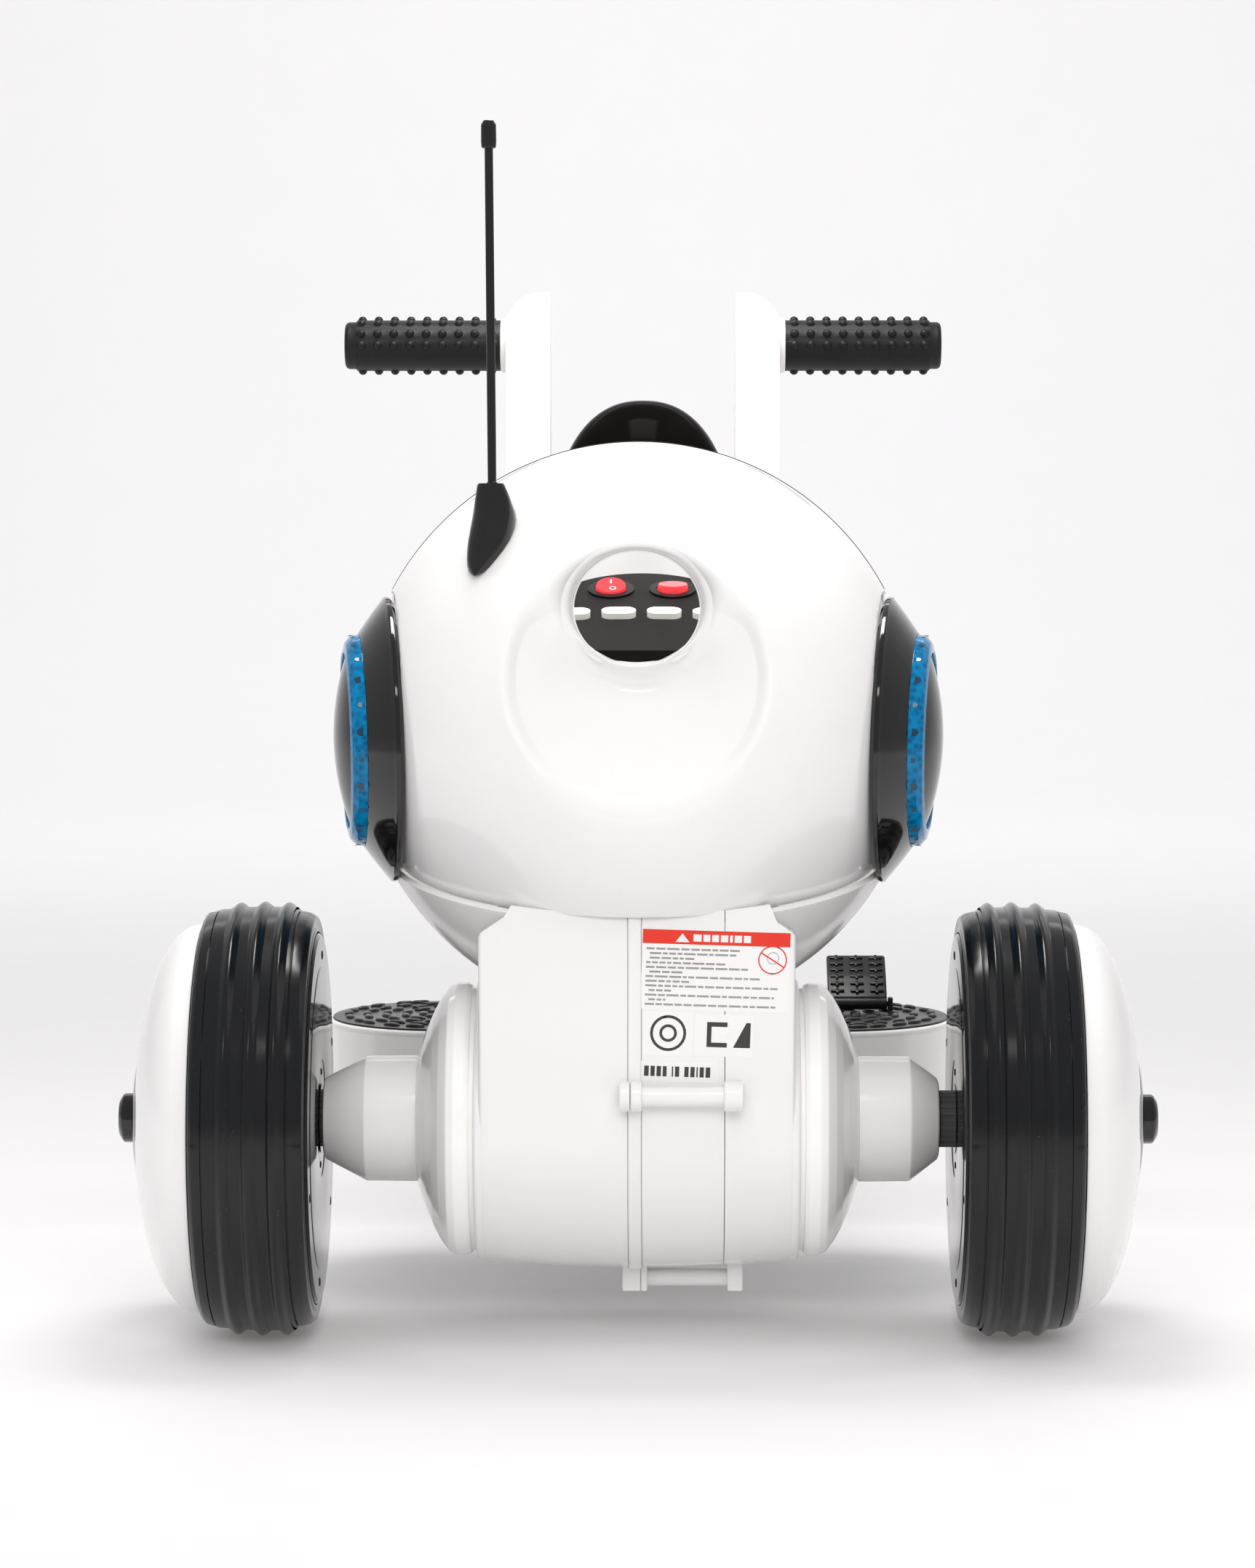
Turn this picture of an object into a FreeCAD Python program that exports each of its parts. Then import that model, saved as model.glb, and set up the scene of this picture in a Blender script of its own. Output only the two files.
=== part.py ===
import FreeCAD, Part
import math
import os
import re
import Sketcher

# Battery ride-on three-wheeler shaped like a robot dog. Millimetres, +Z up, floor at z = 0.
# X runs across the vehicle (the pedal is on the +X side) and +Y is forward.
# Every size sits in the sheet below. "axle_y" puts the rear axle behind the middle of the length.

os.makedirs("parts", exist_ok=True)
doc = FreeCAD.newDocument("ride_on")
Vec = FreeCAD.Vector

SIZES = {
    # rear wheels
    "axle_y": -243.22, "wheel_r": 126, "tyre_in": 183, "tyre_out": 251, "rib_mid": 217,
    "rib_step": 14, "rib_w": 8, "rib_h": 3, "tread_drop": 4.5, "groove_in": 196, "groove_out": 243,
    "groove_w": 0.8, "groove_d": 1.2, "tyre_wall": 4, "rim_r": 103, "disc_t": 4, "disc_screw_r": 1.8,
    "disc_screw_ring": 94, "dome_r": 114, "dome_mid_x": 276, "dome_mid_r": 92.5,
    "dome_end": 290.5, "dome_hole_r": 26, "dome_wall": 3, "dome_small_r": 42, "dome_big_r": 168,
    "hub_disc_r": 30, "hub_disc_end": 293, "stud_r": 14.5, "stud_end": 301.5, "stud_round": 2.5,
    "drive_r": 16.5, "drive_core_r": 12, "drive_gap": 0.6, "axle_r": 6, "run_gap": 0.05,
    "axle_half": 283, "hub_seat": 284,
    # axle housing
    "barrel_half": 93, "barrel_end_r": 81.5, "barrel_bore": 76,
    "barrel_crown": 963, "rib_left": -5, "rib_right": 2.6, "strip_right": 49.7, "rib_proud": 1.5,
    "bell_groove": 96.5, "bell_ring": 111, "bell_r": 79, "bell_groove_r": 76, "bell_mid": 123,
    "bell_mid_r": 56, "bell_end": 129, "bell_end_r": 37, "bell_wall": 3, "bell_curve": 40,
    "sleeve_r": 36.5, "sleeve_flat": 158, "sleeve_end": 177, "sleeve_play": 3,
    "sleeve_tip_r": 23.25,
    "saddle_half": 89.5, "saddle_rear": -84, "saddle_front": 66, "saddle_low": 152,
    "saddle_shoulder": 241, "saddle_top_half": 75, "saddle_step": 251, "saddle_top": 285,
    "rear_tube_y": -95, "rear_tube_z": 151, "rear_tube_r": 5.5, "lug_r": 8.5,
    "lug_a0": -9.7, "lug_b1": 60, "low_lug_a0": -9, "low_lug_b1": 61,
    "lug_a1": 3, "lug_b0": 49.2, "low_tube_z": 33, "low_tube_r": 5,
    "low_lug_a1": 5.5, "low_lug_b0": 52, "low_lug_r": 7,
    "gear_x0": 60, "gear_x1": 91, "gear_r": 68, "gear_bore": 8, "motor_r": 19, "motor_x0": 12,
    "motor_y": 36,
    # seat ball
    "ball_y": 35, "ball_z": 356, "ball_r": 163, "ball_wall": 4, "dish_tilt": 12.4,
    "dish_r": 67, "dish_lip_r": 77, "dish_floor": 122, "dish_edge": 140, "lip_curve": 8,
    "seam_y": 33, "gasket_t": 3, "skirt_tilt": 11, "skirt_z": 275.5, "bowl_z": 347,
    "bowl_r": 164.5, "bowl_gap": 1.5,
    "window_a": 36.3, "window_b": 32.7, "window_z": 425, "rim_wall": 2.2, "rim_depth": 14, "seat_z": 236,
    "seat_t": 5, "cheek_half": 92, "cheek_top": 500,
    "cheek_slope": 55, "leg_gap_z": 242,
    # side lamps
    "lamp_x": 141, "lamp_y": 18, "lamp_z": 346, "lamp_tilt": 7, "lamp_r": 83, "lamp_rise": 36.5,
    "ring_out": 62, "ring_in": 51, "lamp_floor": 13, "lamp_lip": 20.5, "ring_top": 28.5,
    "cap_edge": 27.5, "lamp_t": 3, "lamp_arc_r": 130, "board_t": 1.6,
    # antenna
    "ant_x": -81, "ant_y": -60, "ant_base_z": 446, "ant_base_r": 17, "ant_top_r": 7.5,
    "ant_top_z": 495, "ant_rod_r": 2.4, "ant_rod_z": 684, "ant_tip_r": 4.4, "ant_tip_z": 699,
    # footboards, tray, pedal
    "mat_x": 118, "mat_y": 210, "mat_a": 74, "mat_b": 81, "mat_t": 5, "tray_top": 158,
    "tray_low": 118, "tray_lip": 3, "tray_wall": 4, "spine_half": 62, "spine_front": 400,
    "spine_back": 70, "base_t": 4, "bat_w": 70, "bat_l": 107, "bat_h": 34, "bat_y": 100,
    "pedal_x0": 117.5, "pedal_x1": 154.5, "pedal_y": 224, "pedal_z": 168.6, "pedal_tilt": 31,
    "pedal_len": 52, "pedal_t": 5, "pin_r": 1.5, "knuckle_r": 4, "ear_t": 3, "ear_gap": 0.5,
    # neck and dashboard
    "neck_half": 46, "neck_back": 300, "neck_wall": 3.5, "neck_front": 534,
    "dash_y": 330, "dash_z": 425, "dash_tilt": 19.65, "dash_half": 60, "dash_low": -104,
    "dash_high": -28, "dash_arc": 60, "dash_t": 5, "dash_top": 32, "dash_skirt": 20,
    "rocker_x": 20, "rocker_r": 10.2, "rocker_bore": 10.6, "bezel_r": 15, "bezel_h": 1.6,
    "bezel_deep": 9, "rocker_half": 4.4, "rocker_tilt": 10, "button_w": 22, "button_h": 12,
    "button_rise": 3.5, "button_deep": 7, "button_gap": 0.35, "button_row": -43,
    "button_x1": 14.5, "button_x2": 43.5, "button_drop": 2.5, "button_turn": 6,
    # steering and front wheel
    "steer_y": 520, "front_r": 90, "rake": 12.3, "column_r": 8, "bush_r": 14, "bush_len": 22,
    "bush_low": 125, "bush_high": 268, "column_low": 112, "column_high": 400, "neck_top": 294,
    "head_gap": 300, "front_half": 27, "front_rim_r": 72, "front_dome": 14,
    "front_axle_r": 5, "front_bore": 14, "leg_in": 45, "leg_t": 8, "leg_w": 26, "crown_low": 103,
    "crown_t": 9, "fender_r": 98, "fender_t": 3, "fender_half": 32, "front_axle_half": 56,
    "head_y": 432, "head_z": 440, "head_a": 63, "head_b": 58, "head_c": 109, "head_wall": 3,
    "visor_z": 478, "ear_in": 61, "ear_out": 90, "ear_y": 392, "ear_depth": 56, "ear_low": 448,
    "ear_top": 619, "ear_arc": 23, "grip_y": 420, "grip_z": 585, "grip_r": 16.7,
    "grip_end": 197, "grip_tail": 189, "grip_tail_r": 15.5, "collar_r": 18, "collar_end": 94,
    "bar_r": 9, "bar_end": 190, "knob_r": 2.9, "knob_pitch": 10.7, "knob_first": 100,
    "knob_h": 2.6,
}

sheet = doc.addObject("Spreadsheet::Sheet", "Sizes")
for row, (alias, value) in enumerate(SIZES.items(), start=1):
    sheet.set(f"A{row}", alias)
    sheet.set(f"B{row}", str(value))
    sheet.setAlias(f"B{row}", alias)
doc.recompute()

WORD = re.compile(r"[A-Za-z_][A-Za-z_0-9]*")


def sized(text):
    """The expression with every cell name reached through the sheet."""
    return WORD.sub(lambda m: "Sizes." + m.group(0) if m.group(0) in SIZES else m.group(0), str(text))


def number(text):
    return float(sheet.evalExpression(sized(text)))


def bind(thing, **props):
    """Bind properties such as Height or Placement_Base_x to cells."""
    for name, text in props.items():
        thing.setExpression(name.replace("Placement_Base_", "Placement.Base."), sized(text))


def place(thing, x="0", y="0", z="0", turn=None, about=(1, 0, 0)):
    """Put a thing in the vehicle's frame: y counts from the rear axle, and turn is in degrees."""
    thing.Placement = FreeCAD.Placement(Vec(), FreeCAD.Rotation(Vec(*about), number(turn or "0") or 0.0))
    if turn is not None:
        thing.Placement = FreeCAD.Placement(Vec(), FreeCAD.Rotation(Vec(*about), 10))
        thing.setExpression("Placement.Rotation.Angle", sized(turn))
    thing.setExpression("Placement.Base.x", sized(x))
    thing.setExpression("Placement.Base.y", sized(f"axle_y + {y}"))
    thing.setExpression("Placement.Base.z", sized(z))
    return thing


def arc_between(start, end, radius, side):
    """An arc between two points; side is 1 when it bulges to the left of the way from start to end."""
    chord = end.sub(start)
    rise = max(radius ** 2 - (chord.Length / 2) ** 2, 0) ** 0.5
    centre = (start + end) * 0.5 - Vec(-chord.y, chord.x, 0).normalize() * (side * rise)
    first, last = (end, start) if side > 0 else (start, end)
    angles = [math.atan2(p.y - centre.y, p.x - centre.x) for p in (first, last)]
    return Part.ArcOfCircle(Part.Circle(centre, Vec(0, 0, 1), radius), angles[0], angles[1])


def draw(sketch, outline):
    """Fill a sketch with a closed outline whose corners and arc radii are bound to cells.
    A point is (x, y), or (x, y, radius, side) when an arc leads to it."""
    spots = [Vec(number(p[0]), number(p[1]), 0) for p in outline]
    count = len(outline)
    for i in range(count):
        start, end = spots[i], spots[(i + 1) % count]
        target = outline[(i + 1) % count]
        if len(target) == 2:
            sketch.addGeometry(Part.LineSegment(start, end), False)
        else:
            sketch.addGeometry(arc_between(start, end, number(target[2]), target[3]), False)
    ends = []
    for i, geometry in enumerate(sketch.Geometry):
        flipped = geometry.StartPoint.distanceToPoint(spots[i]) > 1e-6
        ends.append((2, 1) if flipped else (1, 2))
    for i in range(count):
        nxt = (i + 1) % count
        sketch.addConstraint(Sketcher.Constraint("Coincident", i, ends[i][1], nxt, ends[nxt][0]))
    for i, spot in enumerate(outline):
        for kind, text, value in (("DistanceX", spot[0], spots[i].x), ("DistanceY", spot[1], spots[i].y)):
            index = sketch.addConstraint(Sketcher.Constraint(kind, -1, 1, i, ends[i][0], value))
            sketch.setExpression(f"Constraints[{index}]", sized(text))
    for i in range(count):
        target = outline[(i + 1) % count]
        if len(target) == 4:
            index = sketch.addConstraint(Sketcher.Constraint("Radius", i, number(target[2])))
            sketch.setExpression(f"Constraints[{index}]", sized(target[2]))
    return sketch


def sketch_in(body, plane, outline):
    sketch = body.newObject("Sketcher::SketchObject", body.Name + "_line")
    base = next(f for f in body.Origin.OriginFeatures if f.Role == plane)
    sketch.AttachmentSupport = (base, "")
    sketch.MapMode = "FlatFace"
    return draw(sketch, outline)


def lathe(label, axis, outline, **where):
    """A solid of revolution. The outline gives (along the axis, radius) for X and Y,
    and (radius, height) for Z."""
    if axis == "Y":
        outline = [(p[1], p[0]) + tuple(p[2:3]) + tuple(-v for v in p[3:]) for p in outline]
    body = doc.addObject("PartDesign::Body", label)
    sketch = sketch_in(body, "XZ_Plane" if axis == "Z" else "XY_Plane", outline)
    turned = body.newObject("PartDesign::Revolution", label + "_turn")
    turned.Profile = sketch
    turned.ReferenceAxis = (sketch, ["H_Axis" if axis == "X" else "V_Axis"])
    turned.Angle = 360
    return place(body, **where)


def padded(label, plane, outline, length, both=True, back=False, **where):
    """A flat outline pushed out to a thickness."""
    body = doc.addObject("PartDesign::Body", label)
    sketch = sketch_in(body, plane, outline)
    pad = body.newObject("PartDesign::Pad", label + "_pad")
    pad.Profile = sketch
    pad.setExpression("Length", sized(length))
    pad.SideType = "Symmetric" if both else "One side"
    pad.Reversed = back
    return place(body, **where)


def block(label, x0, x1, y0, y1, z0, z1, **where):
    """A box between two corners, given in the vehicle's frame or in a turned one."""
    box = doc.addObject("Part::Box", label)
    bind(box, Length=f"({x1}) - ({x0})", Width=f"({y1}) - ({y0})", Height=f"({z1}) - ({z0})")
    if where:
        return shifted(box, x0, y0, z0, **where)
    return place(box, x=f"({x0})", y=f"({y0})", z=f"({z0})")


def shifted(box, x0, y0, z0, y, z, turn, x="0"):
    """A box whose corner is given in a frame turned about X at (x, y, z)."""
    box.Placement = FreeCAD.Placement(Vec(), FreeCAD.Rotation(Vec(1, 0, 0), 10))
    box.setExpression("Placement.Rotation.Angle", sized(turn))
    box.setExpression("Placement.Base.x", sized(f"({x}) + ({x0})"))
    box.setExpression("Placement.Base.y", sized(f"axle_y + ({y}) + ({y0}) * cos({turn}) - ({z0}) * sin({turn})"))
    box.setExpression("Placement.Base.z", sized(f"({z}) + ({y0}) * sin({turn}) + ({z0}) * cos({turn})"))
    return box


def combine(kind, label, *parts):
    """Cut, Common or MultiFuse of solids."""
    made = doc.addObject("Part::" + kind, label)
    if kind == "MultiFuse":
        made.Shapes = list(parts)
    else:
        made.Base, made.Tool = parts
    return made


def cut(label, base, *tools):
    tool = tools[0] if len(tools) == 1 else combine("MultiFuse", label + "_tools", *tools)
    return combine("Cut", label, base, tool)


def rod(label, radius, x0, x1, y, z):
    """A round bar along X."""
    bar = doc.addObject("Part::Cylinder", label)
    bind(bar, Radius=radius, Height=f"({x1}) - ({x0})")
    return place(bar, x=f"({x0})", y=f"({y})", z=f"({z})", turn="90", about=(0, 1, 0))


NODES = []


def node(name, thing):
    thing.Label = name
    NODES.append((name, thing))
    return thing


PAIRS = {}


def pair(name, thing):
    """Keep a left or right piece until both are there, then make one node of the two."""
    PAIRS.setdefault(name, []).append(thing)
    if len(PAIRS[name]) == 2:
        node(name, combine("MultiFuse", name, *PAIRS[name]))
    return thing


SIDES = (("left", -1), ("right", 1))

# ---- rear wheels, two alike ----
for side, s in SIDES:
    end = f"(sleeve_end + {-s} * sleeve_play)"
    rear = dict(z="wheel_r")
    top = "wheel_r - tread_drop"
    ribs = []
    for step in (-1, 0, 1):
        mid = f"{s} * (rib_mid + {step} * rib_step"
        ribs += [(f"{mid} - rib_w / 2)", "wheel_r - rib_h"),
                 (f"{mid} + rib_w / 2)", "wheel_r - rib_h", "rib_w * 0.52", s)]
    grooves = [[(f"{s} * ({at} - groove_w / 2)", top), (f"{s} * {at}", f"{top} - groove_d"),
                (f"{s} * ({at} + groove_w / 2)", top)] for at in ("groove_in", "groove_out")]
    tyre = [(f"{s} * (tyre_in + 4)", "rim_r"), (f"{s} * tyre_in", "rim_r + 5"),
            (f"{s} * (tyre_in + 4)", "wheel_r - 8"), (f"{s} * (tyre_in + 8)", top)]
    tyre += grooves[0] + ribs + grooves[1]
    tyre += [(f"{s} * (tyre_out - 4)", "wheel_r - 6.5"), (f"{s} * tyre_out", "wheel_r - 11"),
             (f"{s} * tyre_out", "rim_r"), (f"{s} * (tyre_out - tyre_wall)", "rim_r"),
             (f"{s} * (tyre_out - tyre_wall)", "wheel_r - 14"),
             (f"{s} * (tyre_out - 10)", "wheel_r - 9"), (f"{s} * (tyre_in + 12)", "wheel_r - 9"),
             (f"{s} * (tyre_in + 8)", "wheel_r - 14"), (f"{s} * (tyre_in + 8)", "rim_r")]
    node(f"tyre_{side}", lathe(f"tyre_{side}", "X", tyre, **rear))

    disc = lathe(f"disc_plate_{side}", "X", [
        (f"{s} * (tyre_in + 1)", "drive_r"), (f"{s} * (tyre_in + 1)", "rim_r - 5"),
        (f"{s} * (tyre_in - 1)", "rim_r - 3"), (f"{s} * tyre_in", "rim_r"),
        (f"{s} * (tyre_in + 1 + disc_t)", "rim_r"), (f"{s} * (tyre_in + 1 + disc_t)", "drive_r")], **rear)
    holes = []
    for k in range(6):
        hole = rod(f"disc_hole_{side}_{k}", "disc_screw_r", f"{s} * tyre_in - 10", f"{s} * tyre_in + 10",
                   f"disc_screw_ring * cos({60 * k + 30})", f"wheel_r + disc_screw_ring * sin({60 * k + 30})")
        holes.append(hole)
    node(f"wheel_disc_{side}", cut(f"wheel_disc_{side}", disc, *holes))

    node(f"wheel_cover_{side}", lathe(f"wheel_cover_{side}", "X", [
        (f"{s} * tyre_out", "rim_r + 4"), (f"{s} * tyre_out", "dome_r"),
        (f"{s} * dome_mid_x", "dome_mid_r", "dome_small_r", s),
        (f"{s} * dome_end", "dome_hole_r", "dome_big_r", s),
        (f"{s} * (dome_end - dome_wall)", "dome_hole_r"),
        (f"{s} * (dome_mid_x - dome_wall)", "dome_mid_r - dome_wall", "dome_big_r", -s)], **rear))
    hub_plate = lathe(f"hub_plate_{side}", "X", [
        (f"{s} * hub_seat", "0"), (f"{s} * hub_seat", "dome_hole_r"),
        (f"{s} * dome_end", "dome_hole_r"), (f"{s} * dome_end", "hub_disc_r"),
        (f"{s} * (hub_disc_end - 1)", "hub_disc_r"), (f"{s} * hub_disc_end", "hub_disc_r - 4"),
        (f"{s} * hub_disc_end", "0")], **rear)
    stud = lathe(f"hub_stud_{side}", "X", [
        (f"{s} * hub_disc_end", "0"), (f"{s} * hub_disc_end", "stud_r"),
        (f"{s} * (stud_end - stud_round)", "stud_r"),
        (f"{s} * stud_end", "stud_r - stud_round - 1.5", "stud_round * 2", s),
        (f"{s} * stud_end", "0")], **rear)
    node(f"hub_cap_{side}", combine("MultiFuse", f"hub_cap_{side}", hub_plate, stud))
    node(f"drive_hub_{side}", lathe(f"drive_hub_{side}", "X", [
        (f"{s} * ({end} + drive_gap)", "axle_r + run_gap"), (f"{s} * ({end} + drive_gap)", "drive_r"),
        (f"{s} * (tyre_in + 5)", "drive_r"), (f"{s} * (tyre_in + 7)", "drive_core_r"),
        (f"{s} * hub_seat", "drive_core_r"), (f"{s} * hub_seat", "axle_r + run_gap")], **rear))

# ---- axle housing ----
node("rear_axle", rod("rear_axle", "axle_r", "-axle_half", "axle_half", "0", "wheel_r"))


def housing_form(tag, grow):
    """The barrel and the saddle block above it, grown outwards a little for the rib."""
    barrel = lathe(f"barrel_{tag}", "X", [
        ("-barrel_half", "0"), ("-barrel_half", f"barrel_end_r + {grow}"),
        ("barrel_half", f"barrel_end_r + {grow}", "barrel_crown", 1), ("barrel_half", "0")], z="wheel_r")
    saddle = padded(f"saddle_{tag}", "XZ_Plane", [
        ("-saddle_half", "saddle_low"), ("saddle_half", "saddle_low"),
        ("saddle_half", "saddle_shoulder"), ("saddle_top_half", "saddle_step"),
        ("saddle_top_half", "saddle_top"), ("-saddle_top_half", "saddle_top"),
        ("-saddle_top_half", "saddle_step"), ("-saddle_half", "saddle_shoulder")],
        f"saddle_front - saddle_rear + 2 * {grow}", y="(saddle_front + saddle_rear) / 2")
    return combine("MultiFuse", f"housing_form_{tag}", barrel, saddle)


def ball(label, radius, z, y="ball_y"):
    sphere = doc.addObject("Part::Sphere", label)
    bind(sphere, Radius=radius)
    return place(sphere, y=y, z=z)


bowl_solid = ball("bowl_room", "bowl_r", "bowl_z")
barrel_room = rod("barrel_room", "barrel_bore", "-400", "400", "0", "wheel_r")
bowl_top = block("bowl_top", "-300", "300", "-400", "400", "0", "400", y="seam_y", z="skirt_z - bowl_gap",
                 turn="skirt_tilt")
for tag, x0, x1, grow in (("left", "-barrel_half", "rib_left", "0"), ("rib", "rib_left", "rib_right", "rib_proud"),
                          ("strip", "rib_right", "strip_right", "0"),
                          ("right", "strip_right", "barrel_half", "0")):
    form = housing_form(tag, grow)
    slab = block(f"housing_slab_{tag}", x0, x1, "-200", "200", "0", "400")
    piece = combine("Common", f"housing_whole_{tag}", form, slab)
    node(f"housing_{tag}", cut(f"housing_{tag}", piece, barrel_room, bowl_solid, bowl_top))

for side, s in SIDES:
    end = f"(sleeve_end + {-s} * sleeve_play)"
    pair("end_bells", lathe(f"end_bell_{side}", "X", [
        (f"{s} * barrel_half", "axle_r"), (f"{s} * barrel_half", "bell_groove_r"),
        (f"{s} * bell_groove", "bell_groove_r"), (f"{s} * bell_groove", "bell_r - 2"),
        (f"{s} * (bell_groove + 2)", "bell_r"), (f"{s} * (bell_ring - 3)", "bell_r"),
        (f"{s} * bell_ring", "bell_r - 3"), (f"{s} * bell_mid", "bell_mid_r", "bell_curve", s),
        (f"{s} * bell_end", "bell_end_r"), (f"{s} * bell_end", "axle_r"),
        (f"{s} * (bell_end - bell_wall)", "axle_r"), (f"{s} * (bell_end - bell_wall)", "bell_end_r - bell_wall"),
        (f"{s} * (bell_mid - bell_wall)", "bell_mid_r - bell_wall"),
        (f"{s} * (bell_ring - bell_wall)", "bell_groove_r - bell_wall"),
        (f"{s} * (barrel_half + bell_wall)", "bell_groove_r - bell_wall"),
        (f"{s} * (barrel_half + bell_wall)", "axle_r")], z="wheel_r"))
    pair("axle_sleeves", lathe(f"axle_sleeve_{side}", "X", [
        (f"{s} * bell_end", "axle_r + 14"), (f"{s} * bell_end", "sleeve_r - 1"),
        (f"{s} * (bell_end + 1)", "sleeve_r"), (f"{s} * sleeve_flat", "sleeve_r"),
        (f"{s} * {end}", "sleeve_tip_r"), (f"{s} * {end}", "axle_r"),
        (f"{s} * ({end} - 8)", "axle_r"), (f"{s} * ({end} - 8)", "axle_r + 14")], z="wheel_r"))
    gears = lathe(f"gear_case_{side}", "X", [
        (f"{s} * gear_x0", "gear_bore"), (f"{s} * gear_x0", "gear_r"),
        (f"{s} * gear_x1", "gear_r"), (f"{s} * gear_x1", "gear_bore")], z="wheel_r")
    low, high = (f"{s} * motor_x0", f"{s} * (gear_x0 + 1)")
    motor = rod(f"motor_{side}", "motor_r", *((low, high) if s > 0 else (high, low)), "motor_y", "wheel_r + 8")
    pair("gearmotors", combine("MultiFuse", f"gearmotor_{side}", gears, motor))

rear_bar = rod("rear_bar", "rear_tube_r", "lug_a1", "lug_b0", "rear_tube_y", "rear_tube_z")
pair("cross_tubes", rear_bar)
lugs = []
for tag in ("a", "b"):
    x0, x1 = f"lug_{tag}0", f"lug_{tag}1"
    lugs.append(rod(f"lug_eye_{tag}", "lug_r", x0, x1, "rear_tube_y", "rear_tube_z"))
    lugs.append(block(f"lug_foot_{tag}", x0, x1, "rear_tube_y", "-70", "rear_tube_z - lug_r",
                      "rear_tube_z + lug_r"))
housing_room = housing_form("room", "0")
rib_room = combine("Common", "rib_room", housing_form("rib_room", "rib_proud"),
                   block("rib_room_slab", "rib_left", "rib_right", "-200", "200", "0", "400"))
pair("cross_tube_lugs", cut("rear_tube_lugs", combine("MultiFuse", "lug_pair", *lugs), housing_room, rib_room))
pair("cross_tubes", rod("lower_bar", "low_tube_r", "low_lug_a1", "low_lug_b0", "0", "low_tube_z"))
low_lugs = []
for tag in ("a", "b"):
    x0, x1 = f"low_lug_{tag}0", f"low_lug_{tag}1"
    low_lugs.append(rod(f"low_eye_{tag}", "low_lug_r", x0, x1, "0", "low_tube_z"))
    low_lugs.append(block(f"low_foot_{tag}", x0, x1, "-low_lug_r", "low_lug_r", "low_tube_z", "low_tube_z + 16"))
pair("cross_tube_lugs", cut("lower_tube_lugs", combine("MultiFuse", "low_lug_pair", *low_lugs),
                            housing_room, rib_room))

# ---- seat ball ----
# The hood is one turned shell: a sphere with a dish sunk into it, about an axis leaning back and up.
# Along the axis, "out" is the distance from the ball's centre towards the dish.
inner = "(ball_r - ball_wall)"
DISH = "((dish_r^2 + (dish_edge - dish_floor)^2) / (2 * (dish_edge - dish_floor)))"
hood_turned = lathe("hood_turned", "Z", [
    ("0", "dish_floor"), ("dish_r", "dish_edge", DISH, -1),
    ("dish_lip_r", "sqrt(ball_r^2 - dish_lip_r^2)", "lip_curve", 1),
    ("ball_r", "0", "ball_r", 1), (inner, "0"),
    ("dish_lip_r - 2", f"sqrt({inner}^2 - (dish_lip_r - 2)^2)", inner, -1),
    ("dish_r - 3", f"dish_floor + {DISH} - sqrt(({DISH} + ball_wall)^2 - (dish_r - 3)^2)"),
    ("0", "dish_floor - ball_wall", f"({DISH} + ball_wall)", 1)],
    y="ball_y", z="ball_z", turn="90 - dish_tilt")
front_half = block("front_half", "-300", "300", "seam_y", "600", "0", "700")
under_skirt = block("under_skirt", "-300", "300", "-400", "400", "-300", "0", y="seam_y", z="skirt_z",
                    turn="skirt_tilt")
lamp_cuts = []
for side, s in SIDES:
    slab = doc.addObject("Part::Box", f"lamp_side_{side}")
    bind(slab, Length="200", Width="600", Height="600")
    slab.Placement = FreeCAD.Placement(Vec(), FreeCAD.Rotation(Vec(0, 0, 1), 10))
    slab.setExpression("Placement.Rotation.Angle", sized(f"{-s} * lamp_tilt"))
    near = "0" if s > 0 else "-200"
    slab.setExpression("Placement.Base.x", sized(f"{s} * lamp_x + ({near}) * cos(lamp_tilt) - ({s} * 300) * sin(lamp_tilt)"))
    slab.setExpression("Placement.Base.y", sized(f"axle_y + lamp_y + {-s} * ({near}) * sin(lamp_tilt) - 300 * cos(lamp_tilt)"))
    slab.setExpression("Placement.Base.z", "0")
    lamp_cuts.append(slab)


def oval_post(label, grow, y0, y1):
    """An oval bar along Y where the window is."""
    ring = doc.addObject("Part::Ellipse", label + "_line")
    bind(ring, MajorRadius=f"window_a + {grow}", MinorRadius=f"window_b + {grow}")
    place(ring, y=y0, z="window_z", turn="90")
    post = doc.addObject("Part::Extrusion", label)
    post.Base = ring
    post.DirMode = "Custom"
    post.Dir = Vec(0, 1, 0)
    post.Solid = True
    bind(post, LengthFwd=f"({y1}) - ({y0})")
    return post


window_hole = oval_post("window_hole", "0", "-300", "0")
hood_room = [front_half, under_skirt, window_hole] + lamp_cuts
node("seat_back_shell", cut("seat_back_shell", hood_turned, *hood_room))

rim_band = lathe("rim_band", "Z", [
    ("0", "dish_floor - ball_wall"), ("dish_lip_r", f"dish_floor - ball_wall + {DISH} - sqrt({DISH}^2 - dish_lip_r^2)",
                                      DISH, -1),
    ("dish_lip_r", "dish_floor - rim_depth"), ("0", "dish_floor - rim_depth")],
    y="ball_y", z="ball_z", turn="90 - dish_tilt")
rim_tube = combine("Cut", "rim_tube", oval_post("rim_outside", "rim_wall", "-140", "0"), window_hole)
rim_reach = combine("Common", "rim_reach", rim_band, rim_tube)
node("window_rim", cut("window_rim", rim_reach, hood_turned))

gasket_ring = lathe("gasket_ring", "Y", [
    ("0", "ball_r - ball_wall - 2"), ("0", "ball_r"), ("gasket_t", "ball_r"),
    ("gasket_t", "ball_r - ball_wall - 2")], y="seam_y", z="ball_z")
node("seam_gasket", cut("seam_gasket", gasket_ring, under_skirt, *lamp_cuts))

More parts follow.
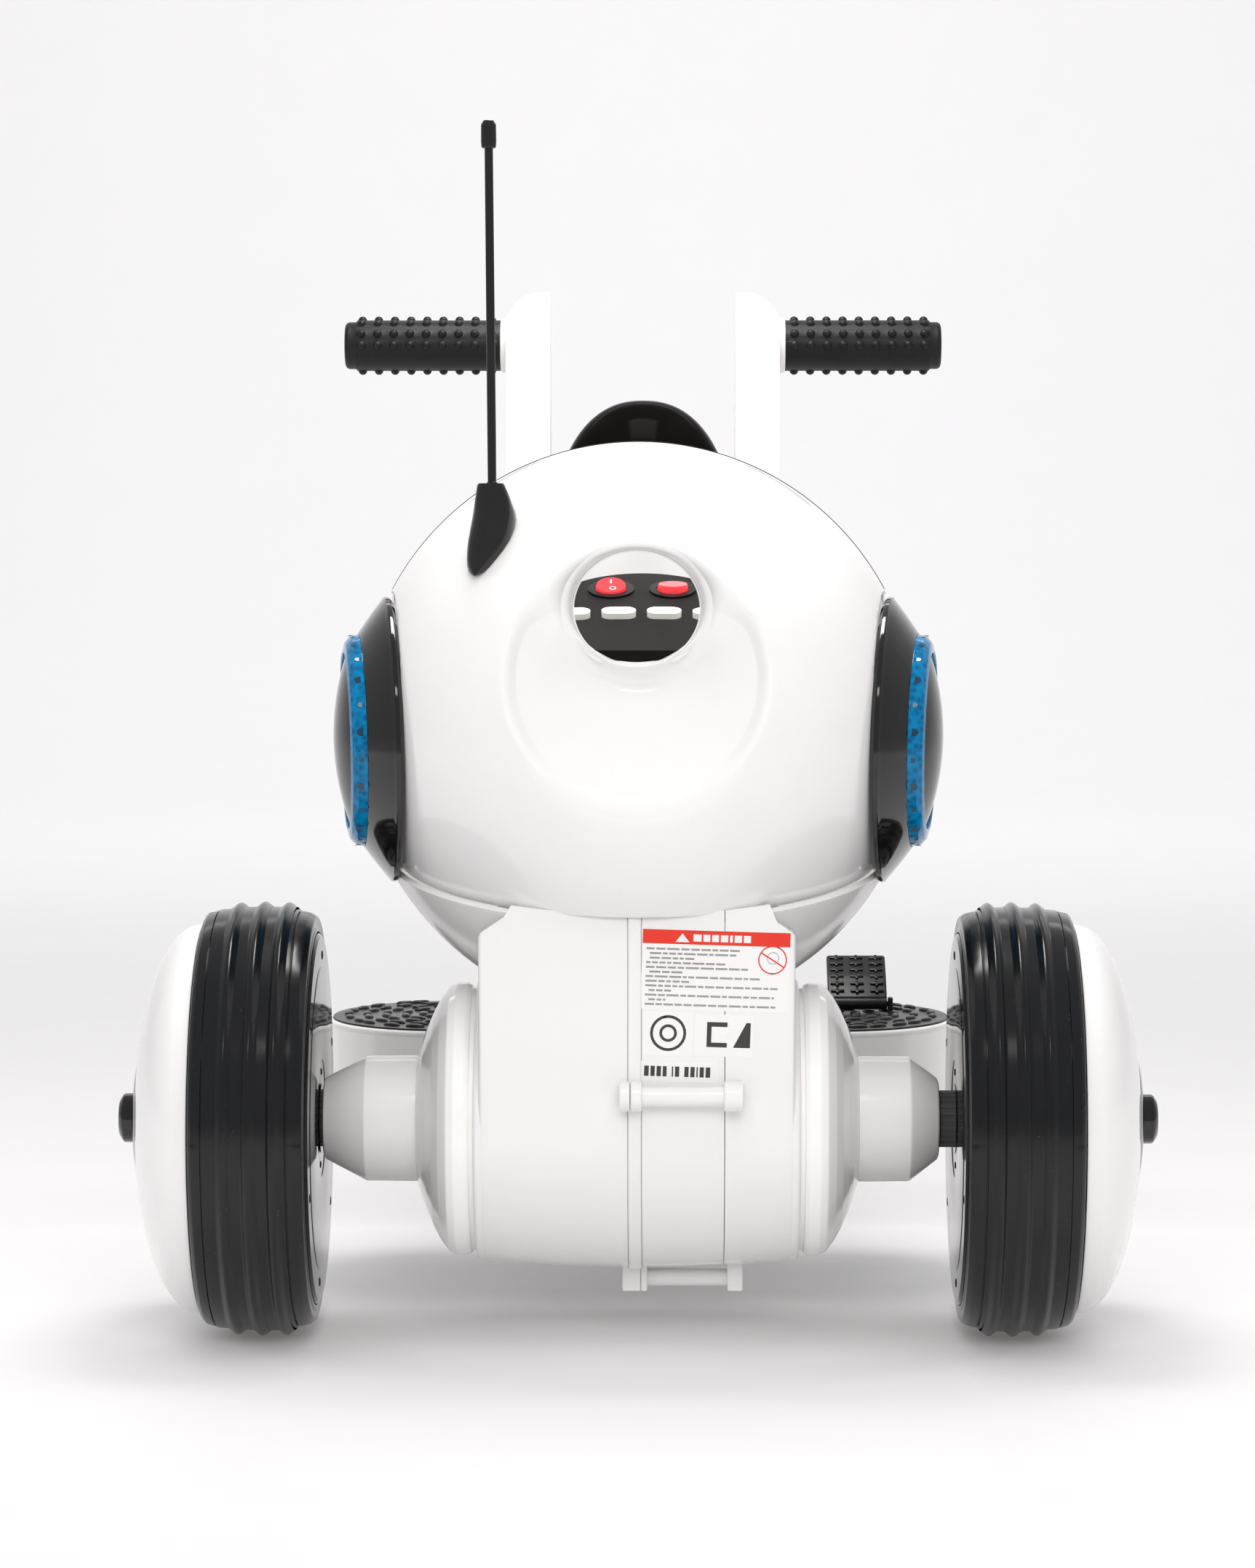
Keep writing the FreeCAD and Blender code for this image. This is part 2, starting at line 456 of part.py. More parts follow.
front_ball = combine("Cut", "front_ball", ball("front_ball_out", "ball_r", "ball_z"),
                     ball("front_ball_in", "ball_r - ball_wall", "ball_z"))
rear_half = block("rear_half", "-300", "300", "-400", "seam_y + gasket_t", "0", "700")
open_top = block("open_top", "-300", "300", "-300", "400", "0", "400", y="seam_y", z="cheek_top",
                 turn="-cheek_slope")
leg_gap = block("leg_gap", "-cheek_half", "cheek_half", "0", "400", "leg_gap_z", "700")
node("seat_front_shell", cut("seat_front_shell", front_ball, rear_half, open_top, leg_gap, under_skirt, *lamp_cuts))

bowl_shell = combine("Cut", "bowl_shell", ball("bowl_out", "bowl_r", "bowl_z"),
                     ball("bowl_in", "bowl_r - ball_wall", "bowl_z"))
barrel_out = lathe("barrel_out", "X", [
    ("-barrel_half", "0"), ("-barrel_half", "barrel_end_r"),
    ("barrel_half", "barrel_end_r", "barrel_crown", 1), ("barrel_half", "0")], z="wheel_r")
bell_out = rod("bell_out", "bell_r", "-bell_ring", "bell_ring", "0", "wheel_r")
spine_out = block("spine_out", "-spine_half", "spine_half", "0", "spine_front", "0", "tray_top")
node("ball_lower_bowl", cut("ball_lower_bowl", bowl_shell, bowl_top, barrel_out, bell_out, spine_out, rib_room, leg_gap,
                            *lamp_cuts))

pan_ball = ball("pan_ball", "ball_r - ball_wall - 2.2", "ball_z")
pan_slab = block("pan_slab", "-300", "300", "-400", "400", "seat_z", "seat_z + seat_t")
node("seat_pan", combine("Common", "seat_pan", pan_ball, pan_slab))

CAP = "(({0}^2 + (lamp_rise - cap_edge)^2) / (2 * (lamp_rise - cap_edge)))"

# ---- side lamps: turned about a sideways axis, leaning back a little ----
for side, s in SIDES:
    spot = dict(x=f"{s} * lamp_x", y="lamp_y", z="lamp_z", turn=f"{-s} * lamp_tilt", about=(0, 0, 1))
    pair("lamp_bezels", lathe(f"lamp_bezel_{side}", "X", [
        (f"{s} * 0", "lamp_r - 10"), (f"{s} * 0", "lamp_r - 1"), (f"{s} * 4", "lamp_r"),
        (f"{s} * lamp_lip", "ring_out", "lamp_arc_r", s), (f"{s} * lamp_floor", "ring_out"),
        (f"{s} * lamp_floor", "ring_in - 1"), (f"{s} * (lamp_floor - lamp_t)", "ring_in - 1"),
        (f"{s} * (lamp_floor - lamp_t)", "ring_out + 3")], **spot))
    pair("lamp_boards", lathe(f"lamp_board_{side}", "X", [
        (f"{s} * lamp_floor", "ring_in + 0.5"), (f"{s} * lamp_floor", "ring_out - 0.5"),
        (f"{s} * (lamp_floor + board_t)", "ring_out - 0.5"),
        (f"{s} * (lamp_floor + board_t)", "ring_in + 0.5")], **spot))
    pair("lamp_rings", lathe(f"lamp_ring_{side}", "X", [
        (f"{s} * (lamp_floor + board_t)", "ring_out"), (f"{s} * (ring_top - 5)", "ring_out"),
        (f"{s} * ring_top", "ring_in + 3", "8", s), (f"{s} * (ring_top + 0.5)", "ring_in"),
        (f"{s} * (lamp_floor + board_t)", "ring_in"), (f"{s} * (lamp_floor + board_t)", "ring_in + 2"),
        (f"{s} * (ring_top - 4)", "ring_in + 2"), (f"{s} * (ring_top - 6)", "ring_out - 2"),
        (f"{s} * (lamp_floor + board_t)", "ring_out - 2")], **spot))
    pair("lamp_caps", lathe(f"lamp_cap_{side}", "X", [
        (f"{s} * lamp_floor", "ring_in - 4"), (f"{s} * lamp_floor", "ring_in"),
        (f"{s} * cap_edge", "ring_in"), (f"{s} * lamp_rise", "0", CAP.format("ring_in"), s),
        (f"{s} * (lamp_rise - lamp_t)", "0"),
        (f"{s} * (cap_edge - lamp_t)", "ring_in - 4", CAP.format("(ring_in - 4)"), -s)], **spot))

# ---- antenna ----
base_cone = doc.addObject("Part::Cone", "ant_cone")
bind(base_cone, Radius1="ant_base_r", Radius2="ant_top_r", Height="ant_top_z - ant_base_z")
place(base_cone, x="ant_x", y="ant_y", z="ant_base_z")
node("antenna_base", combine("Cut", "antenna_base", base_cone, ball("ant_room", "ball_r", "ball_z")))
ant_rod = doc.addObject("Part::Cylinder", "ant_rod")
bind(ant_rod, Radius="ant_rod_r", Height="ant_rod_z - ant_top_z")
place(ant_rod, x="ant_x", y="ant_y", z="ant_top_z")
ant_tip = lathe("ant_tip", "Z", [
    ("0", "ant_rod_z"), ("ant_tip_r", "ant_rod_z"), ("ant_tip_r", "ant_tip_z - 2"),
    ("ant_tip_r - 2", "ant_tip_z", "2", 1), ("0", "ant_tip_z")], x="ant_x", y="ant_y")
node("antenna_rod", combine("MultiFuse", "antenna_rod", ant_rod, ant_tip))

# ---- floor tray, footboards and pedal ----


def oval(label, x, grow, z0, z1):
    flat = doc.addObject("Part::Ellipse", label + "_line")
    bind(flat, MajorRadius=f"mat_b + {grow}", MinorRadius=f"mat_a + {grow}")
    place(flat, x=x, y="mat_y", z=z0, turn="90", about=(0, 0, 1))
    solid = doc.addObject("Part::Extrusion", label)
    solid.Base = flat
    solid.DirMode = "Custom"
    solid.Dir = Vec(0, 0, 1)
    solid.Solid = True
    bind(solid, LengthFwd=f"({z1}) - ({z0})")
    return solid


tray_out = combine("MultiFuse", "tray_out",
                   oval("tray_oval_l", "-mat_x", "tray_lip", "tray_low", "tray_top"),
                   oval("tray_oval_r", "mat_x", "tray_lip", "tray_low", "tray_top"),
                   block("tray_spine", "-spine_half", "spine_half", "spine_back", "spine_front",
                         "tray_low", "tray_top"))
tray_in = combine("MultiFuse", "tray_in",
                  oval("tray_hollow_l", "-mat_x", "tray_lip - tray_wall", "tray_low - 5", "tray_top - tray_wall"),
                  oval("tray_hollow_r", "mat_x", "tray_lip - tray_wall", "tray_low - 5", "tray_top - tray_wall"),
                  block("spine_hollow", "-spine_half + tray_wall", "spine_half - tray_wall", "spine_back",
                        "spine_front - tray_wall", "tray_low - 5", "tray_top - tray_wall"))
node("floor_tray", cut("floor_tray", tray_out, tray_in, barrel_out, rib_room))
base_out = combine("MultiFuse", "base_out",
                   oval("base_oval_l", "-mat_x", "tray_lip", "tray_low - base_t", "tray_low"),
                   oval("base_oval_r", "mat_x", "tray_lip", "tray_low - base_t", "tray_low"),
                   block("base_spine", "-spine_half", "spine_half", "spine_back", "spine_front",
                         "tray_low - base_t", "tray_low"))
node("tray_base", cut("tray_base", base_out, barrel_out, rib_room))
for side, s in SIDES:
    pair("foot_mats", oval(f"foot_mat_{side}", f"{s} * mat_x", "0", "tray_top", "tray_top + mat_t"))
node("battery", block("battery_case", "-bat_w / 2", "bat_w / 2", "bat_y", "bat_y + bat_l", "tray_low",
                      "tray_low + bat_h"))

pin = rod("pedal_pin", "pin_r", "pedal_x0 - ear_gap - ear_t", "pedal_x1 + ear_gap + ear_t", "pedal_y", "pedal_z")
ears = []
for tag, x0 in (("in", "pedal_x0 - ear_gap - ear_t"), ("out", "pedal_x1 + ear_gap")):
    ears.append(block(f"pedal_ear_{tag}", x0, f"{x0} + ear_t", "pedal_y - knuckle_r", "pedal_y + knuckle_r",
                      "tray_top + mat_t", "pedal_z + knuckle_r"))
node("pedal_bracket", combine("MultiFuse", "pedal_bracket", pin, *ears))
knuckle = rod("pedal_knuckle", "knuckle_r", "pedal_x0", "pedal_x1", "pedal_y", "pedal_z")
plate = padded("pedal_plate", "YZ_Plane", [
    ("0", "knuckle_r - pedal_t"), ("pedal_len", "knuckle_r - pedal_t - 1"),
    ("pedal_len + 1", "knuckle_r - 2"), ("pedal_len - 2", "knuckle_r + 0.5"),
    ("0", "knuckle_r", "pedal_len * 4.5", 1)],
    "pedal_x1 - pedal_x0", x="(pedal_x0 + pedal_x1) / 2", y="pedal_y", z="pedal_z", turn="pedal_tilt")
pedal_solid = combine("MultiFuse", "pedal_solid", knuckle, plate)
pedal_bore = rod("pedal_bore", "pin_r + run_gap", "pedal_x0 - 5", "pedal_x1 + 5", "pedal_y", "pedal_z")
node("pedal", combine("Cut", "pedal", pedal_solid, pedal_bore))

# ---- neck and dashboard ----
steer = dict(y="steer_y", z="front_r", turn="rake")
neck_side = [("neck_back", "tray_top"), ("spine_front", "tray_top"), ("spine_front + 12", "front_r + 118"),
             ("neck_front", "front_r + 118"), ("neck_front - 20", "420"), ("375", "420"),
             ("362", "dash_z + 6"), ("neck_back - 61", "dash_z - 30"), ("neck_back - 57", "dash_z - 53")]
neck_block = padded("neck_block", "YZ_Plane", neck_side, "2 * neck_half")
neck_hollow = padded("neck_hollow", "YZ_Plane", [
    ("neck_back + 4", "tray_top + 8"), ("spine_front - 5", "tray_top + 8"), ("spine_front + 6", "front_r + 145"),
    ("neck_front - 12", "front_r + 145"), ("neck_front - 30", "355"), ("380", "375"),
    ("352", "dash_z - 6"), ("neck_back - 46", "dash_z - 42")],
    "2 * (neck_half - neck_wall)")
above_neck = block("above_neck", "-200", "200", "-78", "200", "neck_top", "neck_top + 300", **steer)
above_dash = block("above_dash", "-200", "200", "-200", "200", "-dash_t", "200", y="dash_y", z="dash_z",
                   turn="dash_tilt")
bush_bore = doc.addObject("Part::Cylinder", "bush_bore")
bind(bush_bore, Radius="bush_r", Height="500")
place(bush_bore, **steer)
for tag in ("low", "high"):
    outer = doc.addObject("Part::Cylinder", f"bush_{tag}_out")
    bind(outer, Radius="bush_r", Height="bush_len")
    shift = f"bush_{tag}"
    outer.Placement = FreeCAD.Placement(Vec(), FreeCAD.Rotation(Vec(1, 0, 0), 10))
    outer.setExpression("Placement.Rotation.Angle", sized("rake"))
    outer.setExpression("Placement.Base.y", sized(f"axle_y + steer_y - {shift} * sin(rake)"))
    outer.setExpression("Placement.Base.z", sized(f"front_r + {shift} * cos(rake)"))
    inner_bore = doc.addObject("Part::Cylinder", f"bush_{tag}_in")
    bind(inner_bore, Radius="column_r + run_gap", Height="600")
    place(inner_bore, **steer)
    pair("steering_bushes", combine("Cut", f"steering_bush_{tag}", outer, inner_bore))

dash = dict(y="dash_y", z="dash_z", turn="dash_tilt")
dash_plate = padded("dash_plate", "XY_Plane", [
    ("-dash_half", "dash_low"), ("dash_half", "dash_low"), ("dash_half", "dash_high"),
    ("0", "dash_top", "dash_arc", -1), ("-dash_half", "dash_high", "dash_arc", -1)],
    "dash_t", both=False, back=True, **dash)
dash_skirt = block("dash_skirt_wall", "-dash_half", "dash_half", "dash_low", "dash_low + 4", "-dash_skirt", "-1", **dash)
dash_solid = combine("MultiFuse", "dash_solid", dash_plate, dash_skirt)


def pill(label, x, grow, low, high, turn):
    """A pill-shaped post standing on the dashboard, between two heights."""
    flat = "((button_w - button_h) / 2)"
    half = f"(button_h / 2 + {grow})"
    middle = doc.addObject("Part::Box", label + "_middle")
    bind(middle, Length=f"2 * {flat}", Width=f"2 * {half}", Height=f"{high} - ({low})",
         Placement_Base_x=f"-{flat}", Placement_Base_y=f"-{half}")
    pieces = [middle]
    for tag, sign in (("l", "-"), ("r", "")):
        tip = doc.addObject("Part::Cylinder", f"{label}_tip_{tag}")
        bind(tip, Radius=half, Height=f"{high} - ({low})", Placement_Base_x=f"{sign}{flat}")
        pieces.append(tip)
    post = combine("MultiFuse", label, *pieces)
    drop = f"(button_row - button_drop * abs({x}) / button_x2)"
    post.Placement = FreeCAD.Placement(Vec(), FreeCAD.Rotation(Vec(1, 0, 0), number("dash_tilt"))
                                       * FreeCAD.Rotation(Vec(0, 0, 1), number(turn)))
    post.setExpression("Placement.Base.x", sized(x))
    post.setExpression("Placement.Base.y", sized(f"axle_y + dash_y + {drop} * cos(dash_tilt) - ({low}) * sin(dash_tilt)"))
    post.setExpression("Placement.Base.z", sized(f"dash_z + {drop} * sin(dash_tilt) + ({low}) * cos(dash_tilt)"))
    return post


def upright_at(label, radius, x, low, high):
    """A round post square to the dashboard, in line with the rockers."""
    post = doc.addObject("Part::Cylinder", label)
    bind(post, Radius=radius, Height=f"{high} - ({low})")
    post.Placement = FreeCAD.Placement(Vec(), FreeCAD.Rotation(Vec(1, 0, 0), 10))
    post.setExpression("Placement.Rotation.Angle", sized("dash_tilt"))
    post.setExpression("Placement.Base.x", sized(x))
    post.setExpression("Placement.Base.y", sized(f"axle_y + dash_y - ({low}) * sin(dash_tilt)"))
    post.setExpression("Placement.Base.z", sized(f"dash_z + ({low}) * cos(dash_tilt)"))
    return post


BUTTONS = (("1", "-button_x2", "button_turn"), ("2", "-button_x1", "button_turn / 3"),
           ("3", "button_x1", "-button_turn / 3"), ("4", "button_x2", "-button_turn"))
dash_holes = [pill(f"button_hole_{n}", x, "button_gap", "-20", "20", turn) for n, x, turn in BUTTONS]
dash_holes += [upright_at(f"rocker_hole_{side}", "bezel_r - 1", f"{s} * rocker_x", "-20", "20") for side, s in SIDES]
node("dash_panel", cut("dash_panel", dash_solid, *dash_holes))
skirt_slot = block("skirt_slot", "-200", "200", "dash_low - 60", "dash_low + 4", "-80", "80", **dash)
node("neck_shell", cut("neck_shell", neck_block, neck_hollow, above_neck, above_dash, skirt_slot, bush_bore, *dash_holes))
bezels = []
for side, s in SIDES:
    x = f"{s} * rocker_x"
    body = upright_at(f"bezel_body_{side}", "bezel_r - 1", x, "-bezel_deep", "0.1")
    lip = upright_at(f"bezel_lip_{side}", "bezel_r", x, "0", "bezel_h")
    bore = upright_at(f"bezel_bore_{side}", "rocker_bore", x, "-30", "30")
    ring = cut(f"bezel_{side}", combine("MultiFuse", f"bezel_full_{side}", body, lip), bore)
    pin = rod(f"rocker_pin_{side}", "pin_r", f"{x} - rocker_bore - 0.6", f"{x} + rocker_bore + 0.6", "dash_y", "dash_z")
    bezels.append(combine("MultiFuse", f"bezel_pinned_{side}", ring, pin))
node("switch_bezels", combine("MultiFuse", "switch_bezels", *bezels))
for name, side, s, lean in (("power_rocker", "left", -1, "rocker_tilt"), ("direction_rocker", "right", 1, "-rocker_tilt")):
    bead = doc.addObject("Part::Sphere", name + "_bead")
    bind(bead, Radius="rocker_r")
    place(bead, x=f"{s} * rocker_x", y="dash_y", z="dash_z")
    slab = block(name + "_slab", "-20", "20", "-20", "20", "-rocker_half - 1", "rocker_half",
                 x=f"{s} * rocker_x", y="dash_y", z="dash_z", turn=f"(dash_tilt + {lean})")
    pivot = rod(name + "_pivot", "pin_r + run_gap", "-40", "40", "dash_y", "dash_z")
    node(name, cut(name, combine("Common", name + "_full", bead, slab), pivot))
for n, x, turn in BUTTONS:
    node(f"dash_button_{n}", pill(f"dash_button_{n}", x, "0", "-button_deep", "button_rise", turn))

# ---- front wheel, fork and head, all turning with the handlebar ----
front = dict(y="steer_y", z="front_r")
for side, s in SIDES:
    pair("front_covers", lathe(f"front_cover_{side}", "X", [
        (f"{s} * front_half", "front_bore"), (f"{s} * front_half", "front_rim_r + 8"),
        (f"{s} * (front_half + front_dome)", "front_bore + 4", "130", s),
        (f"{s} * (front_half + front_dome)", "front_bore")], **front))
node("front_tyre", lathe("front_tyre", "X", [
    ("-front_half", "front_rim_r"), ("-front_half", "front_r - 6"), ("-front_half + 5", "front_r - 3"),
    ("-16", "front_r - 3"), ("-8", "front_r - 3", "4.2", 1), ("-4", "front_r - 3"),
    ("4", "front_r - 3", "4.2", 1), ("8", "front_r - 3"), ("16", "front_r - 3", "4.2", 1),
    ("front_half - 5", "front_r - 3"), ("front_half", "front_r - 6"), ("front_half", "front_rim_r")], **front))
node("front_hub", lathe("front_hub", "X", [
    ("-front_half - front_dome", "front_axle_r + run_gap"), ("-front_half - front_dome", "front_bore"),
    ("-front_half", "front_bore"), ("-front_half", "front_rim_r"),
    ("-front_half + 4", "front_rim_r"), ("-front_half + 4", "front_bore"),
    ("front_half - 4", "front_bore"), ("front_half - 4", "front_rim_r"), ("front_half", "front_rim_r"),
    ("front_half", "front_bore"), ("front_half + front_dome", "front_bore"),
    ("front_half + front_dome", "front_axle_r + run_gap")], **front))
node("front_axle", rod("front_axle", "front_axle_r", "-front_axle_half", "front_axle_half", "steer_y", "front_r"))
fork_parts = [block("fork_crown", "-leg_in - leg_t", "leg_in + leg_t", "-leg_w / 2", "leg_w / 2",
                    "crown_low", "crown_low + crown_t", **steer)]
for tag, x0, x1 in (("l", "-leg_in - leg_t", "-leg_in"), ("r", "leg_in", "leg_in + leg_t")):
    fork_parts.append(block(f"fork_leg_{tag}", x0, x1, "-leg_w / 2", "leg_w / 2", "-leg_w / 2 - 4",
                            "crown_low + 1", **steer))
column_solid = doc.addObject("Part::Cylinder", "column_solid")
bind(column_solid, Radius="column_r", Height="column_high - column_low")
column_solid.Placement = FreeCAD.Placement(Vec(), FreeCAD.Rotation(Vec(1, 0, 0), 10))
column_solid.setExpression("Placement.Rotation.Angle", sized("rake"))
column_solid.setExpression("Placement.Base.y", sized("axle_y + steer_y - column_low * sin(rake)"))
column_solid.setExpression("Placement.Base.z", sized("front_r + column_low * cos(rake)"))
node("steering_column", column_solid)
axle_room = rod("axle_room", "front_axle_r", "-100", "100", "steer_y", "front_r")
fork_all = combine("MultiFuse", "fork_all", *fork_parts)
node("front_fork", combine("Cut", "front_fork", fork_all, axle_room))
fender_ring = lathe("fender_ring", "X", [
    ("-fender_half", "fender_r"), ("-fender_half", "fender_r + fender_t"),
    ("fender_half", "fender_r + fender_t"), ("fender_half", "fender_r")], **front)
fender_low = block("fender_low", "-100", "100", "-200", "200", "-200", "20", **steer)
node("front_fender", cut("front_fender", fender_ring, fender_low, fork_all))

head_out = doc.addObject("Part::Ellipsoid", "head_out")
bind(head_out, Radius1="head_c", Radius2="head_a", Radius3="head_b")
place(head_out, y="head_y", z="head_z")
head_in = doc.addObject("Part::Ellipsoid", "head_in")
bind(head_in, Radius1="head_c - head_wall", Radius2="head_a - head_wall", Radius3="head_b - head_wall")
place(head_in, y="head_y", z="head_z")
under_head = block("under_head", "-200", "200", "-200", "200", "0", "head_gap", **steer)
head_floor_top = block("head_floor_top", "-200", "200", "-200", "200", "head_gap + 8", "600", **steer)
head_hollow = combine("Common", "head_hollow", head_in, head_floor_top)
visor_zone = block("visor_zone", "-200", "200", "-200", "200", "0", "300", y="head_y", z="visor_z", turn="-15")
column_room = doc.addObject("Part::Cylinder", "column_room")
bind(column_room, Radius="column_r", Height="600")
place(column_room, **steer)
ear_solids = []
for side, s in SIDES:
    outline = [(f"{s} * ear_in", "ear_low"), (f"{s} * ear_out", "ear_low"),
               (f"{s} * ear_out", "ear_top - ear_arc"),
               (f"{s} * (ear_out - ear_arc)", "ear_top", "ear_arc", -s), (f"{s} * ear_in", "ear_top")]
    ear = padded(f"ear_solid_{side}", "XZ_Plane", outline, "ear_depth", y="ear_y + ear_depth / 2")
    ear_solids.append(ear)
    collar = lathe(f"grip_collar_{side}", "X", [
        (f"{s} * (ear_out - 1)", "0"), (f"{s} * (ear_out - 1)", "collar_r"),
        (f"{s} * (collar_end - 1)", "collar_r"), (f"{s} * collar_end", "collar_r - 1"),
        (f"{s} * collar_end", "bar_r"), (f"{s} * bar_end", "bar_r"), (f"{s} * bar_end", "0")],
        y="grip_y", z="grip_z")
    node(f"ear_{side}", combine("MultiFuse", f"ear_{side}", ear, collar))
    sleeve = lathe(f"grip_sleeve_{side}", "X", [
        (f"{s} * collar_end", "bar_r"), (f"{s} * collar_end", "grip_r"),
        (f"{s} * grip_tail", "grip_r"), (f"{s} * (grip_tail + 1)", "grip_tail_r"),
        (f"{s} * (grip_end - 3)", "grip_tail_r"), (f"{s} * grip_end", "grip_tail_r - 3", "3.2", s),
        (f"{s} * grip_end", "0"), (f"{s} * bar_end", "0"), (f"{s} * bar_end", "bar_r")],
        y="grip_y", z="grip_z", turn="180")
    knobs = []
    for column in range(9):
        for angle in (90, 58, 27, 0, -90):
            knob = doc.addObject("Part::Sphere", f"knob_{side}_{column}_{angle + 90}")
            bind(knob, Radius="knob_r")
            reach = f"(grip_r + knob_h - knob_r)"
            place(knob, x=f"{s} * (knob_first + {column} * knob_pitch)",
                  y=f"grip_y - {reach} * cos({angle})", z=f"grip_z + {reach} * sin({angle})")
            knobs.append(knob)
    pair("grips", combine("MultiFuse", f"grip_{side}", sleeve, *knobs))

node("head_shell", cut("head_shell", head_out, head_hollow, under_head, visor_zone, column_room, *ear_solids))
visor_full = combine("Common", "visor_full", head_out, visor_zone)
node("head_visor", cut("head_visor", visor_full, head_hollow, *ear_solids))

# ---- write the parts ----
doc.recompute()
problems = []
low, high = Vec(1e9, 1e9, 1e9), Vec(-1e9, -1e9, -1e9)
for thing in doc.Objects:
    if any(word in ("Invalid", "Error") for word in thing.State):
        problems.append(f"{thing.Name}: {thing.State}")
for name, thing in NODES:
    shape = thing.Shape
    if shape.isNull() or not shape.isValid() or not shape.Solids:
        problems.append(f"{name}: bad shape")
        continue
    box = shape.optimalBoundingBox(False)
    low = Vec(min(low.x, box.XMin), min(low.y, box.YMin), min(low.z, box.ZMin))
    high = Vec(max(high.x, box.XMax), max(high.y, box.YMax), max(high.z, box.ZMax))
    shape.exportStep(f"parts/{name}.step")
for line in problems:
    print("PROBLEM", line)
print(len(NODES), "parts, box", low, high, "middle", (low + high) * 0.5)
if problems:
    raise SystemExit(1)
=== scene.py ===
"""Looks of the ball-seated three-wheeler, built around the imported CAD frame. Lengths are in millimetres
in the vehicle's own frame (y counts forward from the rear axle) until at() turns them into the row frame."""
import math
import random

import bmesh
import bpy
from mathutils import Matrix, Vector


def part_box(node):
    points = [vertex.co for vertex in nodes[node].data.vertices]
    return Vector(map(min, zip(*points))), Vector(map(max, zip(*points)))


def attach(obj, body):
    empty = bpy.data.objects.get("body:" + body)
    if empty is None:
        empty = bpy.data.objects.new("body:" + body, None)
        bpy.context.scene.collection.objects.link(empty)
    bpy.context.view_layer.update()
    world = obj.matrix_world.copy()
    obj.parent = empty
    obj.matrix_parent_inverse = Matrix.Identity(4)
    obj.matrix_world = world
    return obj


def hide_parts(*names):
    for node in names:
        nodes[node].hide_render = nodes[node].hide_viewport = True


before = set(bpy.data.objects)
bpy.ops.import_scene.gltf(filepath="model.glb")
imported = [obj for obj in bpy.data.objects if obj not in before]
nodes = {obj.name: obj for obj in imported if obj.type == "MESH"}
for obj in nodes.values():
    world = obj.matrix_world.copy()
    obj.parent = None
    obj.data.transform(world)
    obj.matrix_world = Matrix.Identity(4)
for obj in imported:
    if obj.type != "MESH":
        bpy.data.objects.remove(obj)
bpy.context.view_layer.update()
scene = bpy.context.scene
random.seed(11)

MM = 0.001
axle_low, axle_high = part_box("tyre_left")
AXLE_Y = (axle_low.y + axle_high.y) / 2
SIDES = (("left", -1), ("right", 1))
TAU = 2 * math.pi
WHEEL_Z = 126
BALL_Y, BALL_Z, BALL_R = 35, 356, 163


def at(x, y, z):
    return Vector((x * MM, y * MM + AXLE_Y, z * MM))


def frame_at(x, y, z, turn=None):
    """Local millimetres to the row frame, with an optional rotation."""
    return Matrix.Translation(at(x, y, z)) @ (turn or Matrix()) @ Matrix.Scale(MM, 4)


def flip(s):
    """Mirror across X for the left side, nothing for the right."""
    return Matrix.Diagonal((s, 1, 1, 1))


def angles(count):
    return [TAU * k / count for k in range(count)]


def once(s, node):
    """A node with the parts of both sides is replaced once, by the left piece."""
    return [node] if s < 0 else []


def smooth(a, b, x):
    t = min(1, max(0, (x - a) / (b - a)))
    return t * t * (3 - 2 * t)


# ---------------------------------------------------------------- materials
def nodes_of(name):
    mat = bpy.data.materials.new(name)
    mat.use_nodes = True
    tree = mat.node_tree
    shader = tree.nodes["Principled BSDF"]
    coords = tree.nodes.new("ShaderNodeTexCoord")
    return mat, tree, shader, coords


def noise(tree, coords, scale, detail=3):
    node = tree.nodes.new("ShaderNodeTexNoise")
    node.inputs["Scale"].default_value = scale
    node.inputs["Detail"].default_value = detail
    node.inputs["Roughness"].default_value = 0.55
    tree.links.new(coords.outputs["Object"], node.inputs["Vector"])
    return node.outputs["Fac"]


def ramp(tree, value, stops):
    node = tree.nodes.new("ShaderNodeValToRGB")
    first, last = node.color_ramp.elements[0], node.color_ramp.elements[1]
    first.position, first.color = stops[0][0], (*stops[0][1], 1)
    last.position, last.color = stops[-1][0], (*stops[-1][1], 1)
    for place, colour in stops[1:-1]:
        node.color_ramp.elements.new(place).color = (*colour, 1)
    tree.links.new(value, node.inputs["Fac"])
    return node.outputs["Color"]


def spread(tree, value, low, high):
    node = tree.nodes.new("ShaderNodeMapRange")
    node.inputs["From Min"].default_value = 0.3
    node.inputs["From Max"].default_value = 0.7
    node.inputs["To Min"].default_value = low
    node.inputs["To Max"].default_value = high
    tree.links.new(value, node.inputs["Value"])
    return node.outputs["Result"]


def bump(tree, shader, value, strength, distance):
    node = tree.nodes.new("ShaderNodeBump")
    node.inputs["Strength"].default_value = strength
    node.inputs["Distance"].default_value = distance
    tree.links.new(value, node.inputs["Height"])
    tree.links.new(node.outputs["Normal"], shader.inputs["Normal"])


